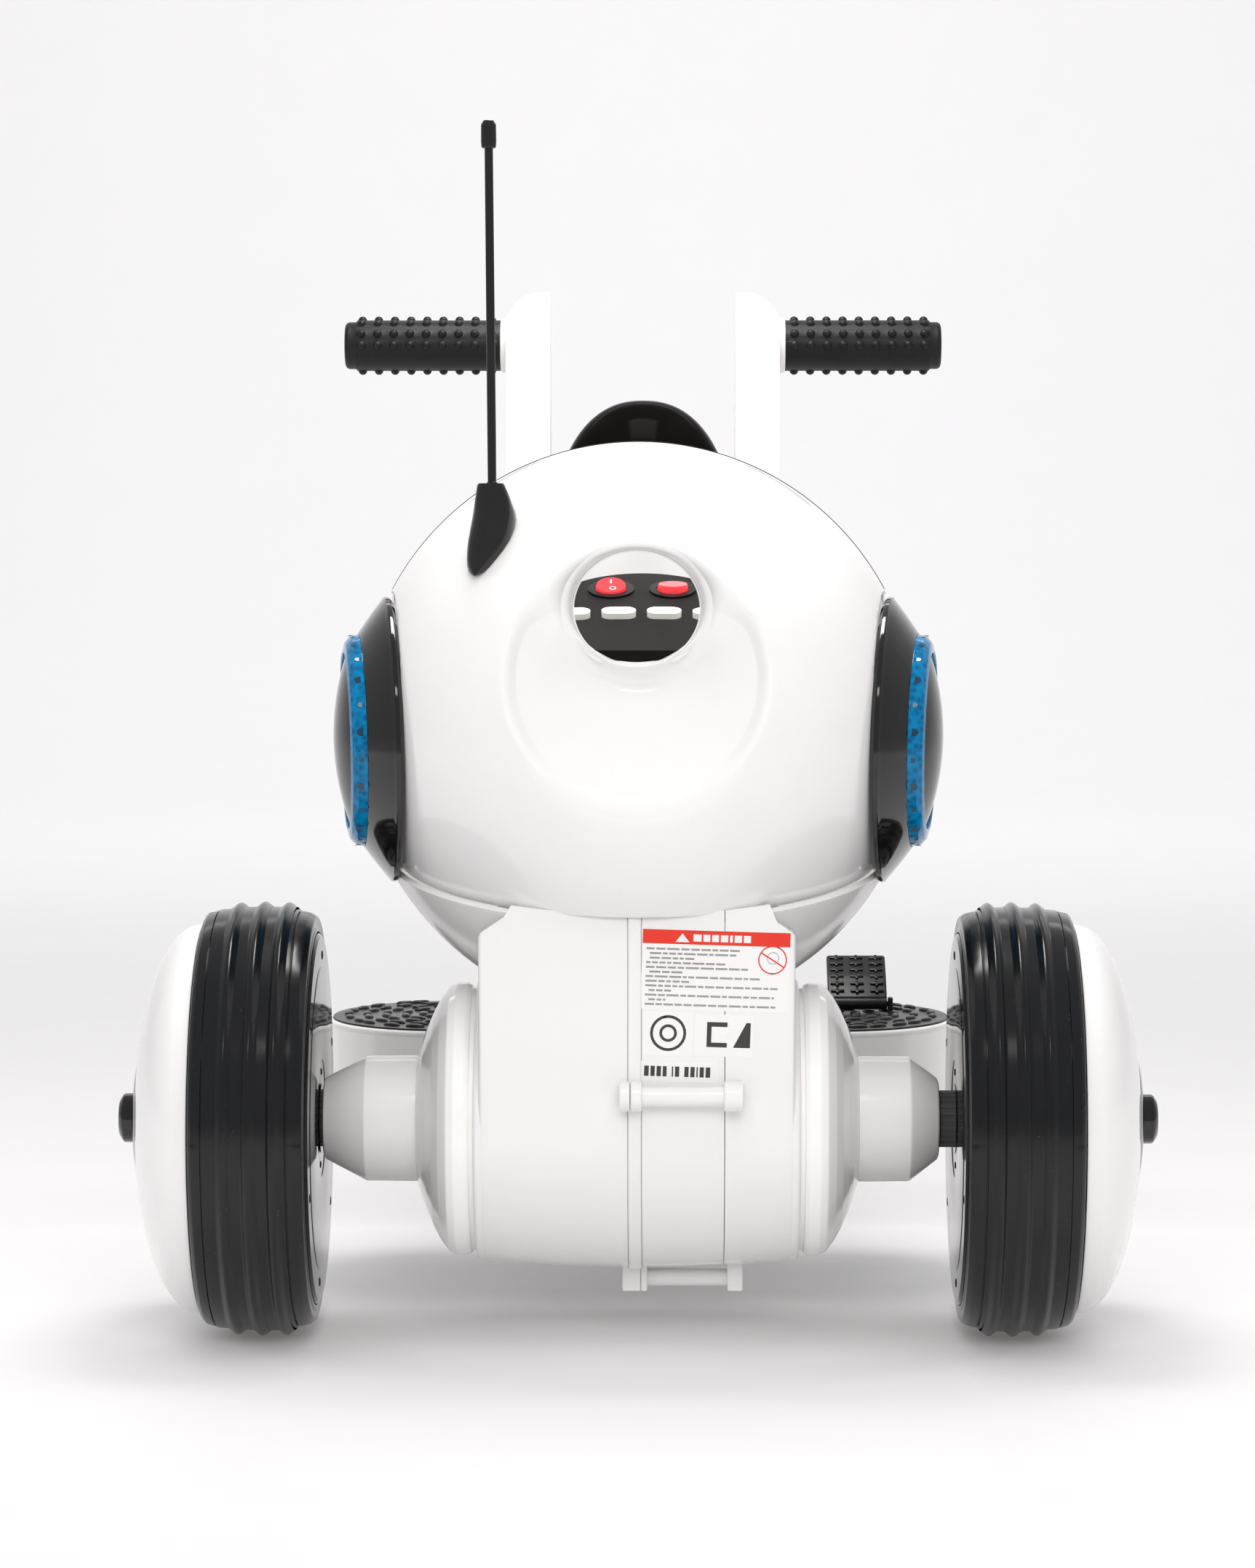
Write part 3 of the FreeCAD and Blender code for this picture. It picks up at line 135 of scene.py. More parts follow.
def moulded(name, colour, rough=(0.2, 0.3), coat=0.0, grain=900, grain_depth=0.00002, tint=0.03, waves=0.0,
            specks=None, specular=0.5):
    """Moulded plastic: slow colour drift, uneven gloss, fine surface grain, and dust specks if asked."""
    mat, tree, shader, coords = nodes_of(name)
    shade = [tuple(min(1, c * k) for c in colour) for k in (1 - tint, 1, 1 + tint)]
    base = ramp(tree, noise(tree, coords, 9, 4), [(0.3, shade[0]), (0.5, shade[1]), (0.7, shade[2])])
    if specks:
        density, size, dust = specks
        dots = tree.nodes.new("ShaderNodeTexVoronoi")
        dots.inputs["Scale"].default_value = density
        tree.links.new(coords.outputs["Object"], dots.inputs["Vector"])
        white, black = (1, 1, 1), (0, 0, 0)
        mask = ramp(tree, dots.outputs["Distance"], [(0.0, white), (size, white), (size + 0.01, black)])
        gate = ramp(tree, noise(tree, coords, density * 0.21, 1), [(0.58, black), (0.66, white)])
        both = tree.nodes.new("ShaderNodeMath")
        both.operation = "MULTIPLY"
        tree.links.new(mask, both.inputs[0])
        tree.links.new(gate, both.inputs[1])
        mix = tree.nodes.new("ShaderNodeMix")
        mix.data_type = "RGBA"
        tree.links.new(both.outputs[0], mix.inputs["Factor"])
        tree.links.new(base, mix.inputs[6])
        mix.inputs[7].default_value = (*dust, 1)
        base = mix.outputs[2]
    tree.links.new(base, shader.inputs["Base Color"])
    tree.links.new(spread(tree, noise(tree, coords, 22, 5), *rough), shader.inputs["Roughness"])
    shader.inputs["Specular IOR Level"].default_value = specular
    if coat:
        shader.inputs["Coat Weight"].default_value = coat
        shader.inputs["Coat Roughness"].default_value = 0.06
    height = noise(tree, coords, grain, 2)
    if waves:
        add = tree.nodes.new("ShaderNodeMath")
        add.operation = "MULTIPLY_ADD"
        tree.links.new(noise(tree, coords, 38, 2), add.inputs[0])
        add.inputs[1].default_value = waves
        tree.links.new(height, add.inputs[2])
        height = add.outputs[0]
    bump(tree, shader, height, 1.0, grain_depth)
    return mat


def glow(mat, colour, strength):
    """Let a material give off a little light of its own."""
    shader = mat.node_tree.nodes["Principled BSDF"]
    shader.inputs["Emission Color"].default_value = (*colour, 1)
    shader.inputs["Emission Strength"].default_value = strength


WHITE = moulded("gloss_white", (0.87, 0.865, 0.86), (0.13, 0.19), coat=0.35, tint=0.012, waves=1.2,
                grain_depth=0.00001)
GREY_WHITE = moulded("grey_white", (0.84, 0.83, 0.825), (0.16, 0.24), coat=0.15, tint=0.02, waves=1.5)
BLACK_GLOSS = moulded("gloss_black", (0.005, 0.005, 0.005), (0.05, 0.1), coat=0.3, tint=0.2,
                      grain_depth=0.000004, waves=3.0, specks=(900, 0.05, (0.2, 0.2, 0.2)))
BLACK_TYRE = moulded("tyre_black", (0.006, 0.0064, 0.0072), (0.14, 0.24), tint=0.25, waves=6.0, grain=1500,
                     specular=0.4, specks=(420, 0.06, (0.35, 0.33, 0.3)))
LAMP_BLACK = moulded("lamp_black", (0.003, 0.003, 0.003), (0.05, 0.1), tint=0.2, grain_depth=0.000004,
                     waves=3.0, specular=0.2)
VISOR = moulded("visor_black", (0.004, 0.0035, 0.003), (0.12, 0.18), tint=0.2, grain_depth=0.000004,
                specular=0.01)
# the same gloss white made lighter: painted light for the end bells, ears and floor tray, which the lamps
# leave darker than the rest
WHITE_PAINTED_LIGHTER = moulded("gloss_white_painted_lighter", (0.96, 0.95, 0.935), (0.13, 0.19), coat=0.35, tint=0.008, waves=1.2,
                       grain_depth=0.00001)
BLACK_SATIN = moulded("satin_black", (0.006, 0.006, 0.0063), (0.3, 0.42), specular=0.4, tint=0.25, grain=2200,
                      grain_depth=0.00003)
BLACK_HORN = moulded("antenna_black", (0.008, 0.0075, 0.007), (0.12, 0.2), tint=0.25, grain_depth=0.00001,
                     waves=3.0, specular=0.6)
GRIP = moulded("grip_black", (0.010, 0.010, 0.0105), (0.42, 0.55), specular=0.35, tint=0.2, grain=1800,
               grain_depth=0.00004)
DASH = moulded("dash_grey", (0.017, 0.0155, 0.015), (0.5, 0.62), specular=0.15, tint=0.15, grain=2600,
               grain_depth=0.00008)
DARK = moulded("dark_grey", (0.06, 0.06, 0.063), (0.4, 0.55), tint=0.15, grain=1500)
RUBBER = moulded("mat_black", (0.014, 0.0145, 0.016), (0.28, 0.4), tint=0.3, grain=1300, grain_depth=0.00005)
RED = moulded("rocker_red", (0.98, 0.045, 0.055), (0.12, 0.2), coat=0.4, tint=0.06)
CREAM = moulded("button_white", (0.98, 0.94, 0.88), (0.25, 0.35), tint=0.02)
# the rockers and buttons glow a little: painted light, standing in for the light the hood keeps off the
# dashboard
glow(RED, (0.98, 0.045, 0.055), 0.26)
glow(CREAM, (0.98, 0.94, 0.88), 0.2)
STEEL = moulded("plain_steel", (0.5, 0.5, 0.52), (0.25, 0.4), tint=0.1, grain=700)
STEEL.node_tree.nodes["Principled BSDF"].inputs["Metallic"].default_value = 1.0
BOARD = moulded("board_blue", (0.03, 0.25, 0.45), (0.3, 0.5), tint=0.4)
PRINT_INK = moulded("print_white", (0.85, 0.85, 0.85), (0.4, 0.5), tint=0.02)
LABEL_WHITE = moulded("label_white", (0.9, 0.89, 0.875), (0.2, 0.3), tint=0.008, grain_depth=0.000005)
LABEL_RED = moulded("label_red", (0.80, 0.035, 0.015), (0.18, 0.28), tint=0.05, grain_depth=0.000005)
LABEL_GREY = moulded("label_grey", (0.34, 0.325, 0.32), (0.3, 0.4), tint=0.08, grain_depth=0.000005)
LABEL_DARK = moulded("label_dark", (0.045, 0.04, 0.04), (0.3, 0.4), tint=0.1, grain_depth=0.000005)


def lens_material():
    """Translucent blue ring with a mottled moulded inside, lit a little from within."""
    mat, tree, shader, coords = nodes_of("lens_blue")
    cells = tree.nodes.new("ShaderNodeTexVoronoi")
    cells.inputs["Scale"].default_value = 260
    tree.links.new(coords.outputs["Object"], cells.inputs["Vector"])
    colour = ramp(tree, cells.outputs["Distance"], [(0.0, (0.0, 0.05, 0.12)), (0.35, (0.0, 0.11, 0.25)),
                                                    (0.8, (0.0, 0.17, 0.37))])
    tree.links.new(colour, shader.inputs["Base Color"])
    tree.links.new(spread(tree, noise(tree, coords, 60, 3), 0.05, 0.12), shader.inputs["Roughness"])
    shader.inputs["Coat Weight"].default_value = 0.1
    shader.inputs["Coat Roughness"].default_value = 0.03
    shader.inputs["Specular IOR Level"].default_value = 0.2
    tree.links.new(colour, shader.inputs["Emission Color"])
    shader.inputs["Emission Strength"].default_value = 0.18
    bump(tree, shader, noise(tree, coords, 420, 2), 0.4, 0.0002)
    return mat


LENS = lens_material()
LED_DARK = moulded("led_dark", (0.0, 0.035, 0.075), (0.15, 0.25), coat=0.5, tint=0.3)


# ---------------------------------------------------------------- mesh helpers
def fillet(points, closed=True, steps=5):
    """Round an outline's corners: each point is (a, r) or (a, r, radius)."""
    out = []
    for i, p in enumerate(points):
        here = Vector(p[:2])
        if len(p) < 3 or p[2] <= 0 or (not closed and i in (0, len(points) - 1)):
            out.append(here)
            continue
        before = Vector(points[i - 1][:2]) - here
        after = Vector(points[(i + 1) % len(points)][:2]) - here
        a, b = before.normalized(), after.normalized()
        half = math.acos(max(-0.9999, min(0.9999, a.dot(b)))) / 2
        reach = min(p[2] / math.tan(half), before.length * 0.49, after.length * 0.49)
        radius = reach * math.tan(half)
        centre = here + (a + b).normalized() * (radius / math.sin(half))
        start, end = here + a * reach - centre, here + b * reach - centre
        a0 = math.atan2(start.y, start.x)
        turn = (math.atan2(end.y, end.x) - a0 + math.pi) % TAU - math.pi
        out += [centre + radius * Vector((math.cos(a0 + turn * k / steps), math.sin(a0 + turn * k / steps)))
                for k in range(steps + 1)]
    return out


def grid_faces(bm, rows, wrap_rows=False, wrap_cols=False):
    """Quads between rows of vertices; a row of one vertex is a pole."""
    count = len(rows)
    for i in range(count if wrap_rows else count - 1):
        low, high = rows[i], rows[(i + 1) % count]
        width = max(len(low), len(high))
        for j in range(width if wrap_cols else width - 1):
            k = (j + 1) % width
            ring = [low[j % len(low)], low[k % len(low)], high[k % len(high)], high[j % len(high)]]
            loop = [v for n, v in enumerate(ring) if v not in ring[:n]]
            if len(loop) > 2 and bm.faces.get(loop) is None:
                bm.faces.new(loop)


def turned(bm, outline, place, segments=144, closed=True, shape=None):
    """A solid of revolution about local X.

    The outline gives (along, radius), and shape may change them by angle."""
    rows = []
    for p in outline:
        if p[1] < 1e-6:
            rows.append([bm.verts.new(place @ Vector((p[0], 0, 0)))])
            continue
        row = []
        for j in range(segments):
            angle = TAU * j / segments
            a, r = shape(p[0], p[1], angle) if shape else (p[0], p[1])
            row.append(bm.verts.new(place @ Vector((a, r * math.cos(angle), r * math.sin(angle)))))
        rows.append(row)
    grid_faces(bm, rows, wrap_rows=closed, wrap_cols=True)


def lofted(bm, sections, place):
    """A skin over closed sections with the same count of points, capped at both ends."""
    rows = [[bm.verts.new(place @ Vector(p)) for p in section] for section in sections]
    grid_faces(bm, rows, wrap_cols=True)
    for row in (rows[0], rows[-1]):
        bm.faces.new(row)


def finish_mesh(name, bm, body, material, replaces=(), angle=35, weld=1e-6):
    """Turn the mesh into a piece that rides on a body and has a material."""
    bmesh.ops.remove_doubles(bm, verts=bm.verts, dist=weld)
    bmesh.ops.recalc_face_normals(bm, faces=bm.faces)
    mesh = bpy.data.meshes.new(name)
    bm.to_mesh(mesh)
    bm.free()
    mesh.materials.append(material)
    mesh.shade_smooth()
    mesh.set_sharp_from_angle(angle=math.radians(angle))
    thing = bpy.data.objects.new(name, mesh)
    scene.collection.objects.link(thing)
    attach(thing, body)
    if replaces:
        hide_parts(*replaces)
    return thing


def bevelled(thing, width, segments=3, angle=40):
    mod = thing.modifiers.new("edges", "BEVEL")
    mod.width = width * MM
    mod.segments = segments
    mod.limit_method = "ANGLE"
    mod.angle_limit = math.radians(angle)
    mod.harden_normals = False


def box_mesh(bm, place, lo, hi, bevel, segments=3):
    """A box between two local corners, its edges rounded."""
    made = bmesh.ops.create_cube(bm, size=1)["verts"]
    for v in made:
        v.co = Vector([lo[i] + (v.co[i] + 0.5) * (hi[i] - lo[i]) for i in range(3)])
    edges = list({e for v in made for e in v.link_edges})
    made = bmesh.ops.bevel(bm, geom=edges, offset=bevel, segments=segments, profile=0.5, affect="EDGES")
    for v in set(made["verts"]):
        v.co = place @ v.co


def cad_dress(node, material, bevel):
    """Give a CAD node that stays its material and small rounded edges."""
    thing = nodes[node]
    thing.data.materials.clear()
    thing.data.materials.append(material)
    weld = thing.modifiers.new("weld", "WELD")
    weld.merge_threshold = 0.00001
    if bevel:
        bevelled(thing, bevel, 2, 45)
    normals = thing.modifiers.new("normals", "WEIGHTED_NORMAL")
    normals.keep_sharp = True


# ---------------------------------------------------------------- rear wheels
RIB_HALF = 4.6


def rib(middle, valley, top):
    """One rounded rib of the tread as outline points."""
    points = []
    for k in range(13):
        t = -1 + k / 6
        rise = (0.5 + 0.5 * math.cos(math.pi * t)) ** 0.75
        points.append((middle + t * RIB_HALF, valley + (top - valley) * rise))
    return points


def tyre_outline():
    """From the outer bead over the tread and its ribs to the inner bead."""
    tread = [(251, 104), (251, 117.2, 2.5), (248.6, 119.6, 2), (243.5, 120.9, 0.3), (243.4, 119.3),
             (242.7, 119.3), (242.6, 121.4, 0.3)]
    for middle, valley in ((231, 122.6), (217, 123.2), (203, 122.8)):
        tread += rib(middle, valley, valley + 2.8)
    tread += [(196.4, 121.2, 0.3), (196.3, 119.0), (195.6, 119.0), (195.5, 120.7, 0.3), (190, 119.4, 3),
              (186.6, 117.2, 2.2), (186.8, 113.2, 1.2), (186.9, 112.2, 0.6), (186.2, 110.8, 1.2),
              (186.2, 108.6, 0.5), (188, 108.2), (188, 100)]
    return tread + [(246, 100)]


def tyre_shape(a, r, angle):
    """Small moulding tick marks across the flanges."""
    for mark in range(4):
        gap = abs((angle - mark * TAU / 4 - 0.02 + math.pi) % TAU - math.pi)
        if gap < 0.02 and r > 116 and (a > 244 or a < 195):
            r += 0.5 * (1 - gap / 0.02)
    return a, r


def splines(a, r, angle):
    """Shallow grooves along the drive hub."""
    return a, r * (1 - 0.035 * (math.sin(angle * 24) > 0.25)) if r > 14 else r


for side, s in SIDES:
    body = f"wheel_{side}"
    place = frame_at(0, 0, WHEEL_Z) @ flip(s)
    bm = bmesh.new()
    turned(bm, fillet(tyre_outline()), place, 360, shape=tyre_shape)
    finish_mesh(f"tyre_{side}_shell", bm, body, BLACK_TYRE, [f"tyre_{side}"], angle=28)

    bm = bmesh.new()
    disc = fillet([(186.4, 16.6), (184.0, 16.6, 0.4), (184.0, 20, 0.4), (184.5, 20.4, 0.4), (184.5, 34, 0.4),
                   (184.1, 34.6, 0.4), (184.1, 88, 0.3), (184.5, 88.4, 0.3), (184.5, 105.4, 1.0),
                   (186.0, 107.6, 0.6), (187.6, 107.6)])
    turned(bm, disc, place, 240)
    for k in range(6):
        angle = TAU * (k + 0.35) / 6
        for radius, size in ((95, 2.6), (27, 2.0)):
            spot = (s * 184.6, radius * math.cos(angle), WHEEL_Z + radius * math.sin(angle))
            screw = [(0.3, 0), (0.3, size * 0.6), (-0.5, size * 0.75, 0.2), (-0.5, size, 0.3), (0.3, size)]
            turned(bm, fillet(screw, closed=False), frame_at(*spot) @ flip(s), 24, closed=False)
    finish_mesh(f"wheel_disc_{side}_face", bm, body, LAMP_BLACK, [f"wheel_disc_{side}"],
                angle=30)

    bm = bmesh.new()
    dome = [(252, 113.2, 0.5), (254, 112.9, 1.0)]
    for k in range(1, 33):
        angle = math.radians(8 + (90 - 8) * (k / 32) ** 0.92)
        a, r = 252.5 + 38 * math.sin(angle) ** 0.98, 113.5 * max(0, math.cos(angle)) ** 0.86
        if r > 28:
            dome.append((a, r))
    tip = dome[-1][0]
    dome += [(tip + 0.4, 27.2, 0.6), (tip - 1.6, 26.6), (tip - 2.4, 29)]
    dome += [(a - 3, max(27, r - 3.0)) for a, r in [p[:2] for p in reversed(dome[2:-3])]] + [(252, 109)]
    turned(bm, fillet(dome), place, 240)
    finish_mesh(f"wheel_cover_{side}_dome", bm, body, WHITE, [f"wheel_cover_{side}"], angle=40)

    bm = bmesh.new()
    stud = fillet([(284.5, 0), (284.5, 25.6), (288.4, 27), (288.3, 40.6, 0.3), (288.9, 40.6, 0.4),
                   (290.9, 32, 6), (292.3, 22, 6), (292.8, 15.6, 0.5), (293.0, 14.4, 0.5), (299.0, 14.3, 2.2),
                   (301.45, 10.5, 2.0), (301.5, 4), (301.2, 0)], closed=False)
    turned(bm, stud, place, 144, closed=False)
    finish_mesh(f"hub_cap_{side}_stud", bm, body, BLACK_GLOSS, [f"hub_cap_{side}"], angle=30)

    low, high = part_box(f"drive_hub_{side}")
    near = min(abs(low.x), abs(high.x)) / MM
    far = max(abs(low.x), abs(high.x)) / MM
    bm = bmesh.new()
    boss = fillet([(near, 6.1), (near, 15.6, 0.5), (near + 0.7, 16.5), (far - 0.5, 16.5), (far, 15.6),
                   (far, 6.1)])
    turned(bm, boss, place, 288, shape=splines)
    finish_mesh(f"drive_hub_{side}_boss", bm, body, DARK, [f"drive_hub_{side}"], angle=25)

# ---------------------------------------------------------------- axle housing
BARREL_END, SADDLE_HALF, SADDLE_FLAT = 93.0, 89.5, 75
SKIRT_Z, SKIRT_Y, SKIRT_TILT = 275.5, 33.0, math.radians(11)
BOWL_Z, BOWL_R = 347.0, 164.5


def barrel_radius(x):
    return 86 - 4.5 * (x / BARREL_END) ** 2


def bowl_height(x, y):
    inside = BOWL_R ** 2 - x * x - (y - BALL_Y) ** 2
    return BOWL_Z - math.sqrt(inside) if inside > 0 else None


def housing_section(x, grow=0.0, shrink=0.0):
    """The housing's outline at x: a round barrel, a flat back up to the ball, and a cradle for the bowl."""
    r = barrel_radius(x) + grow - shrink
    points = [(x, r * math.cos(a), WHEEL_Z + r * math.sin(a)) for a in [-math.pi * k / 60 for k in range(61)]]
    top_half = []
    back = -r
    lid = 252.8 + 5.4 * (min(abs(x), SADDLE_FLAT) / SADDLE_FLAT) ** 2
    edge = min(lid, 251 + (SADDLE_FLAT - abs(x)) * (10 / 14.5)) if abs(x) > SADDLE_FLAT else lid
    for k in range(1, 21):
        top_half.append((x, back, WHEEL_Z + (edge - shrink - WHEEL_Z) * k / 20))
    if shrink == 0:
        top_half[-1] = (x, back + 0.8, edge)
    reach = 8
    for k in range(1, 5):
        top_half.append((x, back + reach * k / 4, edge - shrink))
    front = r * 0.8
    for k in range(1, 36):
        y = back + reach + (front - back - reach) * k / 35
        z = bowl_height(x, y)
        z = edge - shrink if z is None else min(edge - shrink, z - 0.8)
        top_half.append((x, y, z))
    return points + top_half


def housing_piece(name, x0, x1, replaces, round0, round1, grow=0.0):
    """A slice of the housing between two planes, its rims rounded."""
    bm = bmesh.new()
    stops = []
    for k in range(5):
        bend = math.pi / 2 * k / 4
        stops.append((x0 + round0 * (1 - math.cos(bend)), round0 * (1 - math.sin(bend))))
    inner0, inner1 = x0 + round0, x1 - round1
    count = max(2, int((inner1 - inner0) / 4))
    stops += [(inner0 + (inner1 - inner0) * k / count, 0) for k in range(1, count)]
    for k in range(5):
        bend = math.pi / 2 * (4 - k) / 4
        stops.append((x1 - round1 * (1 - math.cos(bend)), round1 * (1 - math.sin(bend))))
    lofted(bm, [housing_section(x, grow, shrink) for x, shrink in stops], frame_at(0, 0, 0))
    finish_mesh(name, bm, "chassis", WHITE, replaces, angle=40)


housing_piece("housing_left_shell", -SADDLE_HALF, -5.15, ["housing_left"], 2.2, 0.4)
housing_piece("housing_rib_band", -5, 2.6, ["housing_rib"], 1.2, 1.2, grow=1.4)
housing_piece("housing_strip_cover", 2.75, 49.5, ["housing_strip"], 0.5, 0.35)
housing_piece("housing_right_shell", 49.85, SADDLE_HALF, ["housing_right"], 0.35, 2.2)
for side, s in SIDES:
    place = frame_at(0, 0, WHEEL_Z) @ flip(s)
    # the barrel's last few millimetres, rounded, outside the saddle's side wall
    bm = bmesh.new()
    outline = [(60, 60), (60, 80), (SADDLE_HALF - 1, barrel_radius(SADDLE_HALF) - 0.02),
               (BARREL_END, barrel_radius(BARREL_END), 4.0), (BARREL_END, 60)]
    turned(bm, fillet(outline, steps=7), place, 180)
    finish_mesh(f"barrel_end_{side}", bm, "chassis", WHITE, (), angle=35)

    bm = bmesh.new()
    bell = fillet([(90, 60), (90, 76), (95.4, 76.4, 0.6), (96.0, 78.0, 1.0), (98.5, 79.2, 1.5),
                   (104.5, 79.2, 3), (108.8, 77.2, 4), (113.6, 71.0, 7), (117.8, 63.4, 10), (121.6, 54.8, 12),
                   (124.4, 47.6, 12), (126.2, 41.6, 6), (127.6, 37.4, 0.6), (128.2, 33), (120, 30)], steps=6)
    turned(bm, bell, place, 200)
    # the bells take the lighter copy of the gloss white, which is painted light
    finish_mesh(f"end_bell_{side}", bm, "chassis", WHITE_PAINTED_LIGHTER, once(s, "end_bells"), angle=35)

    # the left sleeve reaches almost to its wheel, and the right one leaves some of the drive hub bare
    tip = 182.4 if s < 0 else 174.5
    bm = bmesh.new()
    sleeve = fillet([(124, 30), (124, 36.2), (129.6, 36.6, 0.5), (157.5, 36.3, 3.0), (tip - 0.8, 23.6, 1.2),
                     (tip, 21.5, 0.8), (tip - 1.5, 18), (tip - 6, 17.6)], steps=6)
    turned(bm, sleeve, place, 160)
    finish_mesh(f"axle_sleeve_{side}", bm, "chassis", GREY_WHITE, once(s, "axle_sleeves"),
                angle=35)

# cross tubes and their lugs
TUBE_Y, TUBE_Z = -95, 151
bm = bmesh.new()
for y, z, r, x0, x1 in ((TUBE_Y, TUBE_Z, 5.6, 1.0, 51.0), (0, 33, 5.0, 3.0, 54.0)):
    outline = fillet([(x0, 0), (x0, r), (x1, r), (x1, 0)], closed=False)
    turned(bm, outline, frame_at(0, y, z), 48, closed=False)
finish_mesh("cross_tube_bars", bm, "chassis", WHITE, ["cross_tubes"], angle=40)
bm = bmesh.new()
for x0, x1 in ((-9.7, -3.8), (-3.4, 3.0), (49.2, 60)):
    outline = fillet([(x0, 0), (x0, 8.4, 0.8), (x1, 8.4, 0.8), (x1, 0)], closed=False)
    turned(bm, outline, frame_at(0, TUBE_Y, TUBE_Z), 64, closed=False)
    box_mesh(bm, frame_at(0, 0, 0), (x0 + 0.2, -94, 143.2), (x1 - 0.2, -80, 158.8), 0.6)
for x0, x1 in ((-9, 1.6), (1.9, 5.5), (52, 61)):
    box_mesh(bm, frame_at(0, 0, 0), (x0, -9, 26), (x1, 9, 45), 0.9)
finish_mesh("cross_tube_eyes", bm, "chassis", WHITE, ["cross_tube_lugs"], angle=40)

# ---------------------------------------------------------------- seat ball
DISH_TILT = math.radians(12.4)
SIN_T, COS_T = math.sin(DISH_TILT), math.cos(DISH_TILT)


def from_dish(u, v, w):
    """Dish frame (across, up, out) to the vehicle frame."""
    return (u, BALL_Y - w * COS_T + v * SIN_T, BALL_Z + w * SIN_T + v * COS_T)


def soft_min(a, b, k):
    h = max(k - abs(a - b), 0) / k
    return min(a, b) - h * h * k / 4


HOLE_Z, HOLE_A, HOLE_B = 425, 36.3, 32.7


def hole_edge(phi):
    """The window's inner edge at an angle: its place across, up and out in the dish frame."""
    up = math.sin(phi)
    w = 125.5 + 11 * max(0, up) ** 2 + 2 * max(0, -up) ** 1.5
    z = HOLE_Z + HOLE_B * up
    return HOLE_A * math.cos(phi), (z - BALL_Z - w * SIN_T) / COS_T, w


def dish_depth(u, v, edge_w, gap, phi):
    """How far out the shell's surface lies at (u, v), gap being the distance from the window's edge."""
    if gap <= 0.01:
        return edge_w
    rho = math.hypot(u, v)
    up = v / max(rho, 1e-6)
    sphere = math.sqrt(max(BALL_R ** 2 - rho * rho, 0))
    side = smooth(-0.93, -0.5, up)
    high = smooth(0.38, 0.73, up)
    lip = 67.7 - 9 * high
    rim = max(0, rho - lip) * (0.98 - 0.42 * high)
    gentle = 127.5 + 11.5 * (min(rho, lip) / lip) ** 2.2 + rim
    soft = 127.5 + 18.5 * (rho / 74) ** 2.3
    bowl = soft + (gentle - soft) * side
    # a shallow valley below the window
    t = gap / 10
    under = smooth(0.1, 0.95, -math.sin(phi))
    surface = soft_min(sphere, bowl, 5 + 9 * (1 - side)) - 10.5 * under * t * math.exp(1 - t)
    # the shell leaves the window's edge steeply until it meets that surface
    top = smooth(0.2, 0.95, math.sin(phi))
    width = 9.5 - 3.5 * top
    rise = max(10, 11 - 4.0 * top)
    reach = min(gap / width, 1)
    funnel = edge_w + rise * math.sqrt(max(0, 1 - (1 - reach) ** 2)) + max(0, gap - width * 0.8) * 1.2
    return soft_min(surface, funnel, 5.0)


def hood_mesh():
    """The ball's back: rings from the window's edge out over the dish, then on round the sphere."""
    bm = bmesh.new()
    whole = frame_at(0, 0, 0)
    columns, rings, outer = 288, 96, 92.0
    rows = []
    for i in range(rings + 1):
        t = (i / rings) ** 1.25
        row = []
        for j in range(columns):
            phi = TAU * j / columns
            hu, hv, hw = hole_edge(phi)
            ou, ov = outer * math.cos(phi), outer * math.sin(phi)
            u, v = hu + (ou - hu) * t, hv + (ov - hv) * t
            w = dish_depth(u, v, hw, math.hypot(u - hu, v - hv), phi)
            row.append(bm.verts.new(whole @ Vector(from_dish(u, v, w))))
        rows.append(row)
    start = math.asin(outer / BALL_R)
    for i in range(1, 61):
        angle = start + (math.radians(112) - start) * i / 60
        row = []
        for j in range(columns):
            phi = TAU * j / columns
            rho, w = BALL_R * math.sin(angle), BALL_R * math.cos(angle)
            row.append(bm.verts.new(whole @ Vector(from_dish(rho * math.cos(phi), rho * math.sin(phi), w))))
        rows.append(row)
    grid_faces(bm, rows, wrap_cols=True)
    return bm


def slice_off(bm, point, normal):
    """Remove what lies on the side that the normal points to."""
    geom = bm.verts[:] + bm.edges[:] + bm.faces[:]
    bmesh.ops.bisect_plane(bm, geom=geom, plane_co=at(*point), plane_no=Vector(normal), clear_outer=True,
                           dist=1e-6)


LAMP_X, LAMP_Y, LAMP_Z, LAMP_TILT = 141, 18, 346, math.radians(7)


def cut_for_lamps(bm, beyond):
    """Remove what lies further out than the planes that the side lamps sit on."""
    for side, s in SIDES:
        outward = (s * math.cos(LAMP_TILT), -math.sin(LAMP_TILT), 0)
        slice_off(bm, (s * (LAMP_X + beyond), LAMP_Y, LAMP_Z), outward)


def thick(thing, thickness):
    """Grow a wall inwards from a skin."""
    mod = thing.modifiers.new("wall", "SOLIDIFY")
    mod.thickness = thickness * MM
    mod.offset = -1
    mod.use_even_offset = True
    mod.use_quality_normals = True


bm = hood_mesh()
slice_off(bm, (0, 32.6, 300), (0, 1, 0))
slice_off(bm, (0, SKIRT_Y, SKIRT_Z), (0, math.sin(SKIRT_TILT), -math.cos(SKIRT_TILT)))
cut_for_lamps(bm, 1.9)
hood = finish_mesh("seat_hood", bm, "chassis", WHITE, ["seat_back_shell"], angle=50)
thick(hood, 3.2)
bevelled(hood, 0.6, 2, 60)

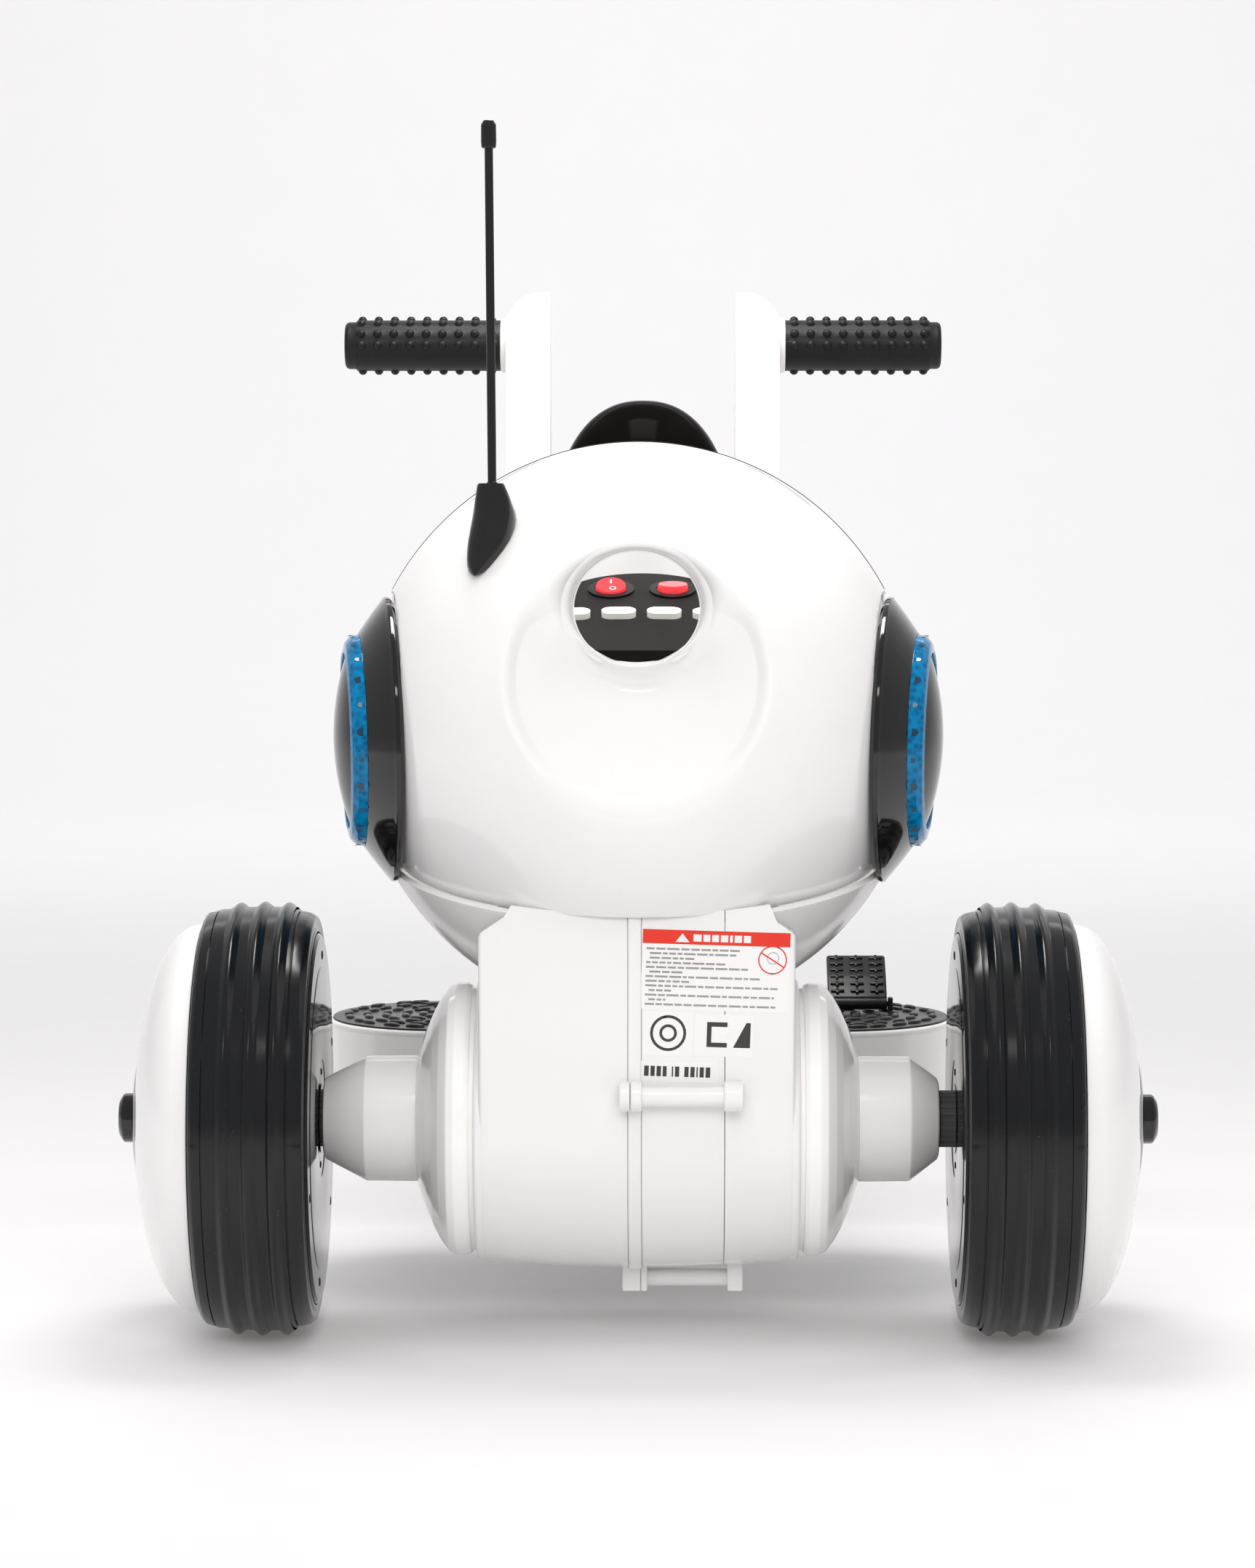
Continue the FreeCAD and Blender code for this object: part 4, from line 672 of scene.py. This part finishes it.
bm = bmesh.new()
rim_rows = []
for offset, depth in ((0.0, 0.0), (0.25, 1.2), (0.1, 3.0), (1.4, 3.2), (1.6, 0.8), (1.2, -0.2), (0.5, -0.4)):
    row = []
    inward = 1.0 - offset
    for phi in angles(200):
        x, y, z = from_dish(*hole_edge(phi))
        spot = Vector((x - inward * math.cos(phi), y + depth + 0.4, z - inward * math.sin(phi)))
        row.append(bm.verts.new(frame_at(0, 0, 0) @ spot))
    rim_rows.append(row)
grid_faces(bm, rim_rows, wrap_rows=True, wrap_cols=True)
finish_mesh("window_rim_ring", bm, "chassis", WHITE, ["window_rim"], angle=60)

# the dark seam between the ball's halves, from lamp to lamp
bm = bmesh.new()
rows = []
reach = math.asin(144.3 / 163.7)
bends = [reach * (k / 60 - 1) for k in range(121)]
for out, y in ((157.5, 32.7), (163.35, 32.7), (163.4, 34.2), (163.3, 35.8), (157.5, 35.9)):
    rows.append([bm.verts.new(at(out * math.sin(a), y, BALL_Z + out * math.cos(a))) for a in bends])
grid_faces(bm, rows, wrap_rows=True)
for end in (0, -1):
    bm.faces.new([row[end] for row in rows])
finish_mesh("seam_gasket_arc", bm, "chassis", BLACK_SATIN, ["seam_gasket"], angle=50)

# the lower bowl, flattened at the back where the saddle's wall stands
BOWL_BACK = -82
bm = bmesh.new()
rows = []
for i in range(73):
    down = math.radians(22 + 68 * i / 72)
    wide = BOWL_R * math.sin(down)
    row = []
    for around in angles(240):
        x, y = wide * math.sin(around), BALL_Y - wide * math.cos(around)
        if y < BOWL_BACK:
            y += (BOWL_BACK - y) * (1 - smooth(74, 80, abs(x)))
        row.append(bm.verts.new(at(x, y, BOWL_Z - BOWL_R * math.cos(down))))
    rows.append(row)
grid_faces(bm, rows, wrap_cols=True)
slice_off(bm, (0, SKIRT_Y, SKIRT_Z - 0.6), (0, -math.sin(SKIRT_TILT), math.cos(SKIRT_TILT)))
cut_for_lamps(bm, 1.5)
slice_off(bm, (0, 150, 200), (0, 1, 0))
bowl = finish_mesh("ball_lower_shell", bm, "chassis", GREY_WHITE, ["ball_lower_bowl"], angle=50)
thick(bowl, 3.5)
bevelled(bowl, 0.8, 2, 60)

# ---------------------------------------------------------------- rear label
LABEL_X, LABEL_Z, LABEL_TURN = 3.5, 245.0, math.radians(-1.95)


def on_back(u, v, lift):
    """A point of the label (mm across and down from its corner) laid on the housing's back."""
    x = LABEL_X + u * math.cos(LABEL_TURN) + v * math.sin(LABEL_TURN)
    z = LABEL_Z + u * math.sin(LABEL_TURN) - v * math.cos(LABEL_TURN)
    return at(x, -barrel_radius(x) - lift, z)


def sticker(bm, outline, layer):
    """A thin closed patch with the given outline, between a layer's two heights above the housing."""
    low, high = layer
    bottom = [bm.verts.new(on_back(u, v, low)) for u, v in outline]
    top = [bm.verts.new(on_back(u, v, high)) for u, v in outline]
    bm.faces.new(top)
    bm.faces.new(bottom[::-1])
    for k in range(len(outline)):
        n = (k + 1) % len(outline)
        bm.faces.new([bottom[k], bottom[n], top[n], top[k]])


def panel(bm, u0, v0, u1, v1, layer, steps=1):
    """A rectangle, cut into steps so that it follows the barrel."""
    for k in range(steps):
        a, b = u0 + (u1 - u0) * k / steps, u0 + (u1 - u0) * (k + 1) / steps
        sticker(bm, [(a, v0), (b, v0), (b, v1), (a, v1)], layer)


def hoop(bm, u, v, radius, width, layer, steps=28):
    for k in range(steps):
        a, b = TAU * k / steps, TAU * (k + 1) / steps
        ring = [(radius, a), (radius + width, a), (radius + width, b), (radius, b)]
        sticker(bm, [(u + r * math.cos(t), v + r * math.sin(t)) for r, t in ring], layer)


# the lower and upper height of each layer of the label
PAPER, BAND, HEADING = (0.02, 0.14), (0.15, 0.2), (0.21, 0.25)
SMALL_PRINT, DARK_PRINT = (0.15, 0.18), (0.15, 0.19)
bm = bmesh.new()
panel(bm, 0, 0, 83.4, 45.3, PAPER, 10)
panel(bm, 2.4, 46.6, 30.2, 71.6, PAPER, 4)
panel(bm, 31.2, 47.2, 64.0, 71.0, PAPER, 4)
panel(bm, 1.6, 74.6, 45.6, 86.4, PAPER, 5)
finish_mesh("label_paper", bm, "chassis", LABEL_WHITE, (), angle=30, weld=1e-8)
bm = bmesh.new()
panel(bm, 0.1, 0.1, 83.3, 8.1, BAND, 10)
hoop(bm, 73.6, 15.6, 7.4, 0.75, BAND)
sticker(bm, [(66.8, 11.9), (67.4, 11.3), (80.4, 19.3), (79.8, 19.9)], BAND)
finish_mesh("label_red_band", bm, "chassis", LABEL_RED, (), angle=30, weld=1e-8)
bm = bmesh.new()
sticker(bm, [(22.4, 1.9), (26.4, 6.9), (18.6, 6.9)], HEADING)
u = 28.6
for width in (4.6, 3.9, 3.9, 4.2, 1.6, 4.2, 4.0):
    panel(bm, u, 2.3, u + width, 6.3, HEADING)
    u += width + 1.0
finish_mesh("label_heading_bars", bm, "chassis", PRINT_INK, (), angle=30, weld=1e-8)
bm = bmesh.new()
PRINT_ROWS = ((2.4, 55), (4.4, 52), (4.4, 30), (2.4, 46), (2.4, 72), (4.4, 22), (2.4, 66), (2.4, 26),
              (2.4, 76), (4.4, 16), (2.4, 74), (4.4, 13), (2.4, 75))
for row, (start, length) in enumerate(PRINT_ROWS):
    u = start
    v = 10.4 + row * 2.62
    while u < length:
        word = min(random.uniform(2.2, 7.5), length + 1 - u)
        # the first rows stop short of the struck-out ring
        if not (row < 5 and u + word > 64):
            panel(bm, u, v, u + word, v + 1.15, SMALL_PRINT)
        u += word + 0.9
hoop(bm, 73.8, 14.6, 3.1, 0.4, SMALL_PRINT, steps=18)
finish_mesh("label_small_bars", bm, "chassis", LABEL_GREY, (), angle=30, weld=1e-8)
bm = bmesh.new()
hoop(bm, 16.2, 58.6, 8.6, 1.6, DARK_PRINT)
hoop(bm, 16.2, 58.6, 3.4, 1.6, DARK_PRINT, steps=18)
bracket = [(38, 51.6), (49.5, 51.6), (49.5, 54.2), (40.6, 54.2), (40.6, 63.2), (49.5, 63.2), (49.5, 65.8),
           (38, 65.8)]
sticker(bm, bracket, DARK_PRINT)
sticker(bm, [(53, 65.8), (60.2, 51.6), (62.6, 51.6), (62.6, 65.8)], DARK_PRINT)
u = 3.4
for width in (2.6, 2.4, 2.5, 2.2, 0, 0.8, 2.4, 0, 2.4, 2.4, 0.8, 2.4, 2.6):
    if width:
        panel(bm, u, 77.4, u + width, 83.2, DARK_PRINT)
    u += width + 1.0 + (0 if width else 0.9)
finish_mesh("label_dark_marks", bm, "chassis", LABEL_DARK, (), angle=30, weld=1e-8)

# ---------------------------------------------------------------- antenna foot
bm = bmesh.new()
ROD_Y = -60
# height, left side and right side of the foot
STATIONS = ((443.2, -90.8, -88.8), (443.6, -92.2, -86.4), (445.0, -93.6, -83.0), (448, -94.4, -79.4),
            (452, -94.7, -76.2), (457, -94.5, -72.8), (463, -93.9, -69.8), (469, -93.0, -67.8),
            (475, -92.0, -66.9), (479, -91.3, -67.2), (484, -90.4, -68.9), (490, -89.5, -71.4),
            (494.0, -88.9, -73.2), (495.1, -88.0, -74.0))


def squarish(value):
    return math.copysign(abs(value) ** 0.9, value)


rows = []
for z, left, right in STATIONS:
    middle, half = (left + right) / 2, (right - left) / 2
    surface = BALL_Y - math.sqrt(max(0, BALL_R ** 2 - middle ** 2 - (z - BALL_Z) ** 2))
    near = ROD_Y - 8.5 - 5.5 * (1 - smooth(446, 490, z))
    near = min(near, surface - 0.6) if z < 450 else near
    far = max(ROD_Y + 7.5, min(surface + 6, -40)) if z < 480 else ROD_Y + 7.5 + 4 * (1 - smooth(480, 488, z))
    rows.append([(middle - 1.5 + half * squarish(math.cos(a)),
                  (near + far) / 2 + (far - near) / 2 * squarish(math.sin(a)), z) for a in angles(64)])
lofted(bm, rows, frame_at(0, 0, 0))
finish_mesh("antenna_foot", bm, "chassis", BLACK_HORN, ["antenna_base"], angle=50)

ROD_FOOT, ROD_TOP = Vector((-81.9, ROD_Y, 494.5)), Vector((-83.6, ROD_Y, 698.8))
lean = Vector((1, 0, 0)).rotation_difference(ROD_TOP - ROD_FOOT).to_matrix().to_4x4()
bm = bmesh.new()
reach = (ROD_TOP - ROD_FOOT).length
whip = fillet([(0, 0), (0, 3.0), (1.0, 3.0, 0.6), (1.4, 2.5), (reach - 16, 2.4), (reach - 15.4, 4.1, 0.6),
               (reach - 12, 4.4), (reach - 2.5, 4.3, 1.0), (reach, 2.8, 0.8), (reach, 0)], closed=False)
turned(bm, whip, frame_at(*ROD_FOOT, lean), 40, closed=False)
finish_mesh("antenna_whip", bm, "chassis", BLACK_HORN, ["antenna_rod"], angle=40)

# ---------------------------------------------------------------- footboard mats and pedal
MAT_X, MAT_Y, MAT_A, MAT_B = 118, 210, 74, 81


def oval(s, grow, z):
    """A ring of points round one footboard."""
    wide, deep = MAT_A + grow, MAT_B + grow
    return [(s * MAT_X + wide * math.cos(a), MAT_Y + deep * math.sin(a), z) for a in angles(160)]


def petal(bm, x, y, z, turn, length, width, height):
    """A curved leaf-shaped bump lying on the mat."""
    rows = []
    for scale, lift in ((1.0, 0.0), (0.97, 0.45), (0.86, 0.8), (0.62, 0.97), (0.3, 1.0)):
        row = []
        for a in angles(20):
            u = length / 2 * scale * math.cos(a)
            v = width / 2 * scale * math.copysign(abs(math.sin(a)) ** 1.3, math.sin(a))
            v += 0.012 * (length * length / 4 - u * u)
            across = x + u * math.cos(turn) - v * math.sin(turn)
            along = y + u * math.sin(turn) + v * math.cos(turn)
            row.append(bm.verts.new(at(across, along, z + height * lift)))
        rows.append(row)
    grid_faces(bm, rows, wrap_cols=True)
    bm.faces.new(rows[0][::-1])
    bm.faces.new(rows[-1])


for side, s in SIDES:
    bm = bmesh.new()
    levels = ((-1.2, 161.6), (0, 161.7), (0, 162.3), (-0.5, 162.9), (-1.6, 163.0))
    lofted(bm, [oval(s, grow, z) for grow, z in levels], frame_at(0, 0, 0))
    for ring in range(6):
        share = (ring + 0.55) / 6
        count = max(4, int(TAU * share * 77 / 17.5))
        for k in range(count):
            a = TAU * (k + 0.5 * (ring % 2)) / count + random.uniform(-0.05, 0.05)
            x, y = (MAT_A - 4) * share * math.cos(a), (MAT_B - 4) * share * math.sin(a)
            turn = math.atan2(MAT_B * math.cos(a), -MAT_A * math.sin(a))
            petal(bm, s * MAT_X + x, MAT_Y + y, 162.8, turn + random.uniform(-0.12, 0.12), 12.5, 5.4, 2.0)
    finish_mesh(f"foot_mat_{side}_petals", bm, "chassis", RUBBER, once(s, "foot_mats"),
                angle=40)
    bm = bmesh.new()
    levels = ((2.2, 157.2), (2.8, 158.0), (2.8, 160.4), (2.2, 161.4), (1.2, 161.8), (-6, 161.8))
    lofted(bm, [oval(s, grow, z) for grow, z in levels], frame_at(0, 0, 0))
    finish_mesh(f"footboard_rim_{side}", bm, "chassis", WHITE, (), angle=40)

PEDAL = frame_at(0, 224, 168.6, Matrix.Rotation(math.radians(31), 4, "X"))
bm = bmesh.new()
side_line = fillet([(1.5, -0.8, 0.8), (45.4, -1.8, 1.2), (47.0, 1.0, 1.5), (45.0, 4.4, 2.0), (22, 5.6, 30),
                    (1.5, 3.6, 1.6)])
slices = []
for x, k in ((117.6, 0.93), (118.0, 0.97), (119.0, 1.0), (153.0, 1.0), (154.0, 0.97), (154.4, 0.93)):
    slices.append([(x, (p.x - 24) * k + 24, (p.y - 2) * k + 2) for p in side_line])
lofted(bm, slices, PEDAL)
turned(bm, fillet([(117.6, 1.8), (117.6, 3.6, 0.5), (154.4, 3.6, 0.5), (154.4, 1.8)]), PEDAL, 40)
for row in range(6):
    for column in range(3):
        x, u = 123.6 + 12.4 * column, 7.2 + 6.9 * row
        lift = 3.9 + 1.7 * (1 - ((u - 24) / 24) ** 2)
        for wide, deep in ((4.2, 0.9), (0.9, 2.5)):
            box_mesh(bm, PEDAL, (x - wide, u - deep, lift - 1.2), (x + wide, u + deep, lift + 0.7), 0.35, 2)
finish_mesh("pedal_tread", bm, "pedal", BLACK_SATIN, ["pedal"], angle=40)

# ---------------------------------------------------------------- head visor and switch marks
# half width, half length and height of the head over its middle, and the power of its rounded outline
HEAD_Y, HEAD_Z, HEAD_A, HEAD_B, HEAD_C, HEAD_POWER, VISOR_FOOT = 432, 440, 63, 58, 109, 2.3, 478
bm = bmesh.new()
rows = []
for wall in (0, 3):
    rise = HEAD_Z + HEAD_C - wall - VISOR_FOOT
    layer = []
    for step in range(29):
        z = VISOR_FOOT + rise * math.sin(math.pi / 2 * step / 28)
        k = max(0, 1 - ((z - HEAD_Z) / (HEAD_C - wall)) ** HEAD_POWER) ** (1 / HEAD_POWER)
        if k < 1e-4:
            layer.append([bm.verts.new(at(0, HEAD_Y, z))])
        else:
            wide, deep = (HEAD_A - wall) * k, (HEAD_B - wall) * k
            ring = [at(wide * math.cos(a), HEAD_Y + deep * math.sin(a), z) for a in angles(120)]
            layer.append([bm.verts.new(spot) for spot in ring])
    rows.append(layer)
outer, inner = rows
grid_faces(bm, outer, wrap_cols=True)
grid_faces(bm, inner, wrap_cols=True)
grid_faces(bm, [outer[0], inner[0]], wrap_cols=True)
finish_mesh("head_visor_dome", bm, "steering", VISOR, ["head_visor"], angle=60)

# the printed line and circle lie on the rocker, which leans 10 degrees more than the dashboard's slope
ROCKER = frame_at(-20, 330, 425, Matrix.Rotation(math.radians(19.65 + 10), 4, "X"))
bm = bmesh.new()
box_mesh(bm, ROCKER, (-0.55, 1.9, 4.2), (0.55, 6.6, 4.55), 0.12, 2)
rows = []
for radius, height in ((1.5, 4.2), (1.5, 4.55), (2.15, 4.55), (2.15, 4.2)):
    ring = [Vector((1.2 + radius * math.cos(a), -4.2 + radius * math.sin(a), height)) for a in angles(32)]
    rows.append([bm.verts.new(ROCKER @ spot) for spot in ring])
grid_faces(bm, rows, wrap_rows=True, wrap_cols=True)
finish_mesh("rocker_marks", bm, "power_rocker", PRINT_INK, (), angle=40)

# ---------------------------------------------------------------- side lamps
LAMP_LEAN, LED_R = 0.023, 61.35
for side, s in SIDES:
    turn = Matrix.Rotation(-s * LAMP_TILT, 4, "Z") @ Matrix.Rotation(s * LAMP_LEAN, 4, "Y") @ flip(s)
    place = frame_at(s * LAMP_X, LAMP_Y, LAMP_Z, turn)
    bm = bmesh.new()
    outline = [(0.5, 70), (0.5, 80.6, 0.6), (2.6, 83.0, 1.2), (5.2, 83.0, 1.0)]
    for k in range(1, 15):
        t = k / 15
        outline.append((5.2 + 15.3 * t, 82.6 - 20.2 * (t * 0.9 + 0.1 * t * t)))
    outline += [(20.6, 62.3, 0.5), (19.5, 61.9), (13, 61.9), (13, 60), (9, 60)]
    turned(bm, fillet(outline), place, 200)
    finish_mesh(f"lamp_bezel_{side}_dome", bm, "chassis", BLACK_GLOSS, once(s, "lamp_bezels"),
                angle=25)

    bm = bmesh.new()
    ring = fillet([(14.8, 61.7), (20.8, 61.7, 0.4), (25.4, 60.8, 1.6), (28.6, 57.2, 2.0), (29.7, 52.6, 0.6),
                   (29.0, 51.3, 0.3), (14.8, 51.2)])
    turned(bm, ring, place, 240)
    finish_mesh(f"lamp_ring_{side}_lens", bm, "chassis", LENS, once(s, "lamp_rings"), angle=35)

    bm = bmesh.new()
    for k in range(24):
        angle = TAU * (k + 0.5) / 24
        spot = place @ Matrix.Translation((23.4, LED_R * math.cos(angle), LED_R * math.sin(angle)))
        wide, tall = (3.0, 2.2) if k % 2 else (1.8, 1.5)
        spot = spot @ Matrix.Rotation(angle, 4, "X") @ Matrix.Rotation(-math.pi / 2, 4, "Z")
        dot = [(0.0, 0), (0.0, 1.0), (0.25, 0.92), (0.3, 0)]
        turned(bm, dot, spot @ Matrix.Diagonal((1, wide, tall, 1)), 20, closed=False)
    finish_mesh(f"lamp_leds_{side}", bm, "chassis", LED_DARK, (), angle=50)

    bm = bmesh.new()
    cap = [(14, 46), (14, 50.9), (26.6, 50.9, 0.4), (27.8, 50.2, 0.6)]
    for k in range(1, 16):
        t = k / 16
        cap.append((27.8 + 8.6 * (1 - (1 - t) ** 2), 50.0 * (1 - t)))
    cap += [(36.4, 0)]
    turned(bm, fillet(cap, closed=False), place, 180, closed=False)
    finish_mesh(f"lamp_cap_{side}_dome", bm, "chassis", LAMP_BLACK, once(s, "lamp_caps"),
                angle=35)

# ---------------------------------------------------------------- CAD nodes that stay
# the floor tray and the ears take the lighter copy of the gloss white, which is painted light
for names, material, bevel in (("floor_tray", WHITE_PAINTED_LIGHTER, 1.0),
                               ("seat_front_shell neck_shell front_fender front_fork head_shell", WHITE, 1.0),
                               ("ear_left ear_right", WHITE_PAINTED_LIGHTER, 2.5), ("front_covers", WHITE, 0.4),
                               ("gearmotors battery tray_base seat_pan steering_bushes front_hub", DARK, 0.6),
                               ("rear_axle front_axle steering_column", STEEL, 0.5),
                               ("pedal_bracket", BLACK_SATIN, 0.6), ("front_tyre", BLACK_TYRE, 0.4),
                               ("dash_panel", DASH, 0.6), ("switch_bezels", BLACK_SATIN, 0.3),
                               ("power_rocker direction_rocker", RED, 0.6),
                               ("dash_button_1 dash_button_2 dash_button_3 dash_button_4", CREAM, 0.8),
                               ("grips", GRIP, 0), ("lamp_boards", BOARD, 0)):
    for name in names.split():
        cad_dress(name, material, bevel)

# ---------------------------------------------------------------- stage, lights, camera
# metres: the floor runs to the bend, then curves up into a wall behind the object
BEND_Y, BEND_R, WALL_TOP = 4.1, 1.6, 8.0
bm = bmesh.new()
profile = [(-9.0, 0.0), (BEND_Y, 0.0)]
for k in range(1, 17):
    angle = math.pi / 2 * k / 16
    profile.append((BEND_Y + BEND_R * math.sin(angle), BEND_R - BEND_R * math.cos(angle)))
profile.append((BEND_Y + BEND_R, WALL_TOP))
rows = [[bm.verts.new((x, y, z)) for x in (-10, 10)] for y, z in profile]
grid_faces(bm, rows)
mesh = bpy.data.meshes.new("floor_sweep")
bm.to_mesh(mesh)
bm.free()
mesh.shade_smooth()
paper = moulded("paper", (0.70, 0.695, 0.70), (0.6, 0.7), tint=0.004, grain=300, specular=0.2)
glow(paper, (1, 0.975, 0.955), 0.13)
mesh.materials.append(paper)
sweep = bpy.data.objects.new("floor_sweep", mesh)
scene.collection.objects.link(sweep)

world = bpy.data.worlds.new("studio")
world.use_nodes = True
world.node_tree.nodes["Background"].inputs["Color"].default_value = (0.96, 0.97, 1.0, 1)
world.node_tree.nodes["Background"].inputs["Strength"].default_value = 0.4
scene.world = world


def softbox(name, place, target, size, power, colour=(1, 0.98, 0.96), mirrored=True):
    """A rectangular lamp aimed at a point; mirrored says if glossy surfaces show it."""
    light = bpy.data.lights.new(name, "AREA")
    light.shape = "RECTANGLE"
    light.size, light.size_y = size
    light.energy = power
    light.color = colour
    thing = bpy.data.objects.new(name, light)
    scene.collection.objects.link(thing)
    thing.location = place
    thing.rotation_euler = (Vector(target) - Vector(place)).to_track_quat("-Z", "Y").to_euler()
    thing.visible_glossy = mirrored


softbox("top_box", (0, -0.7, 2.4), (0, 0, 0), (2.2, 2.0), 21, mirrored=False)
for name, x, power in (("left_box", -3.0, 20), ("right_box", 3.0, 17)):
    softbox(name, (x, 0.5, 1.4), (0, 0, 0.3), (0.35, 1.2), power, mirrored=False)
softbox("tyre_glint", (0, -2.2, 2.1), (0, 0, 0.15), (0.6, 0.3), 3.4)
softbox("back_wash", (0, 3.3, 2.9), (0, 4.9, 0.0), (5.5, 1.2), 84, (1, 0.995, 1))
softbox("front_fill", (0.1, -2.6, 1.3), (0, 0, 0.1), (2.0, 1.0), 27, (1, 0.985, 0.97), mirrored=False)
softbox("dash_fill", at(0, 240, 1150), at(0, 320, 425), (0.35, 0.35), 5)

camera = bpy.data.cameras.new("camera")
camera.sensor_fit = "AUTO"
camera.sensor_width = 36
camera.lens = 111.17
view = bpy.data.objects.new("camera", camera)
scene.collection.objects.link(view)
view.location = at(21.8, -2800, 501)
view.rotation_euler = (math.pi / 2 - 0.0642, 0, 0.00994)
scene.camera = view

scene.view_settings.view_transform = "Standard"
scene.view_settings.look = "None"
scene.view_settings.exposure = 0.0
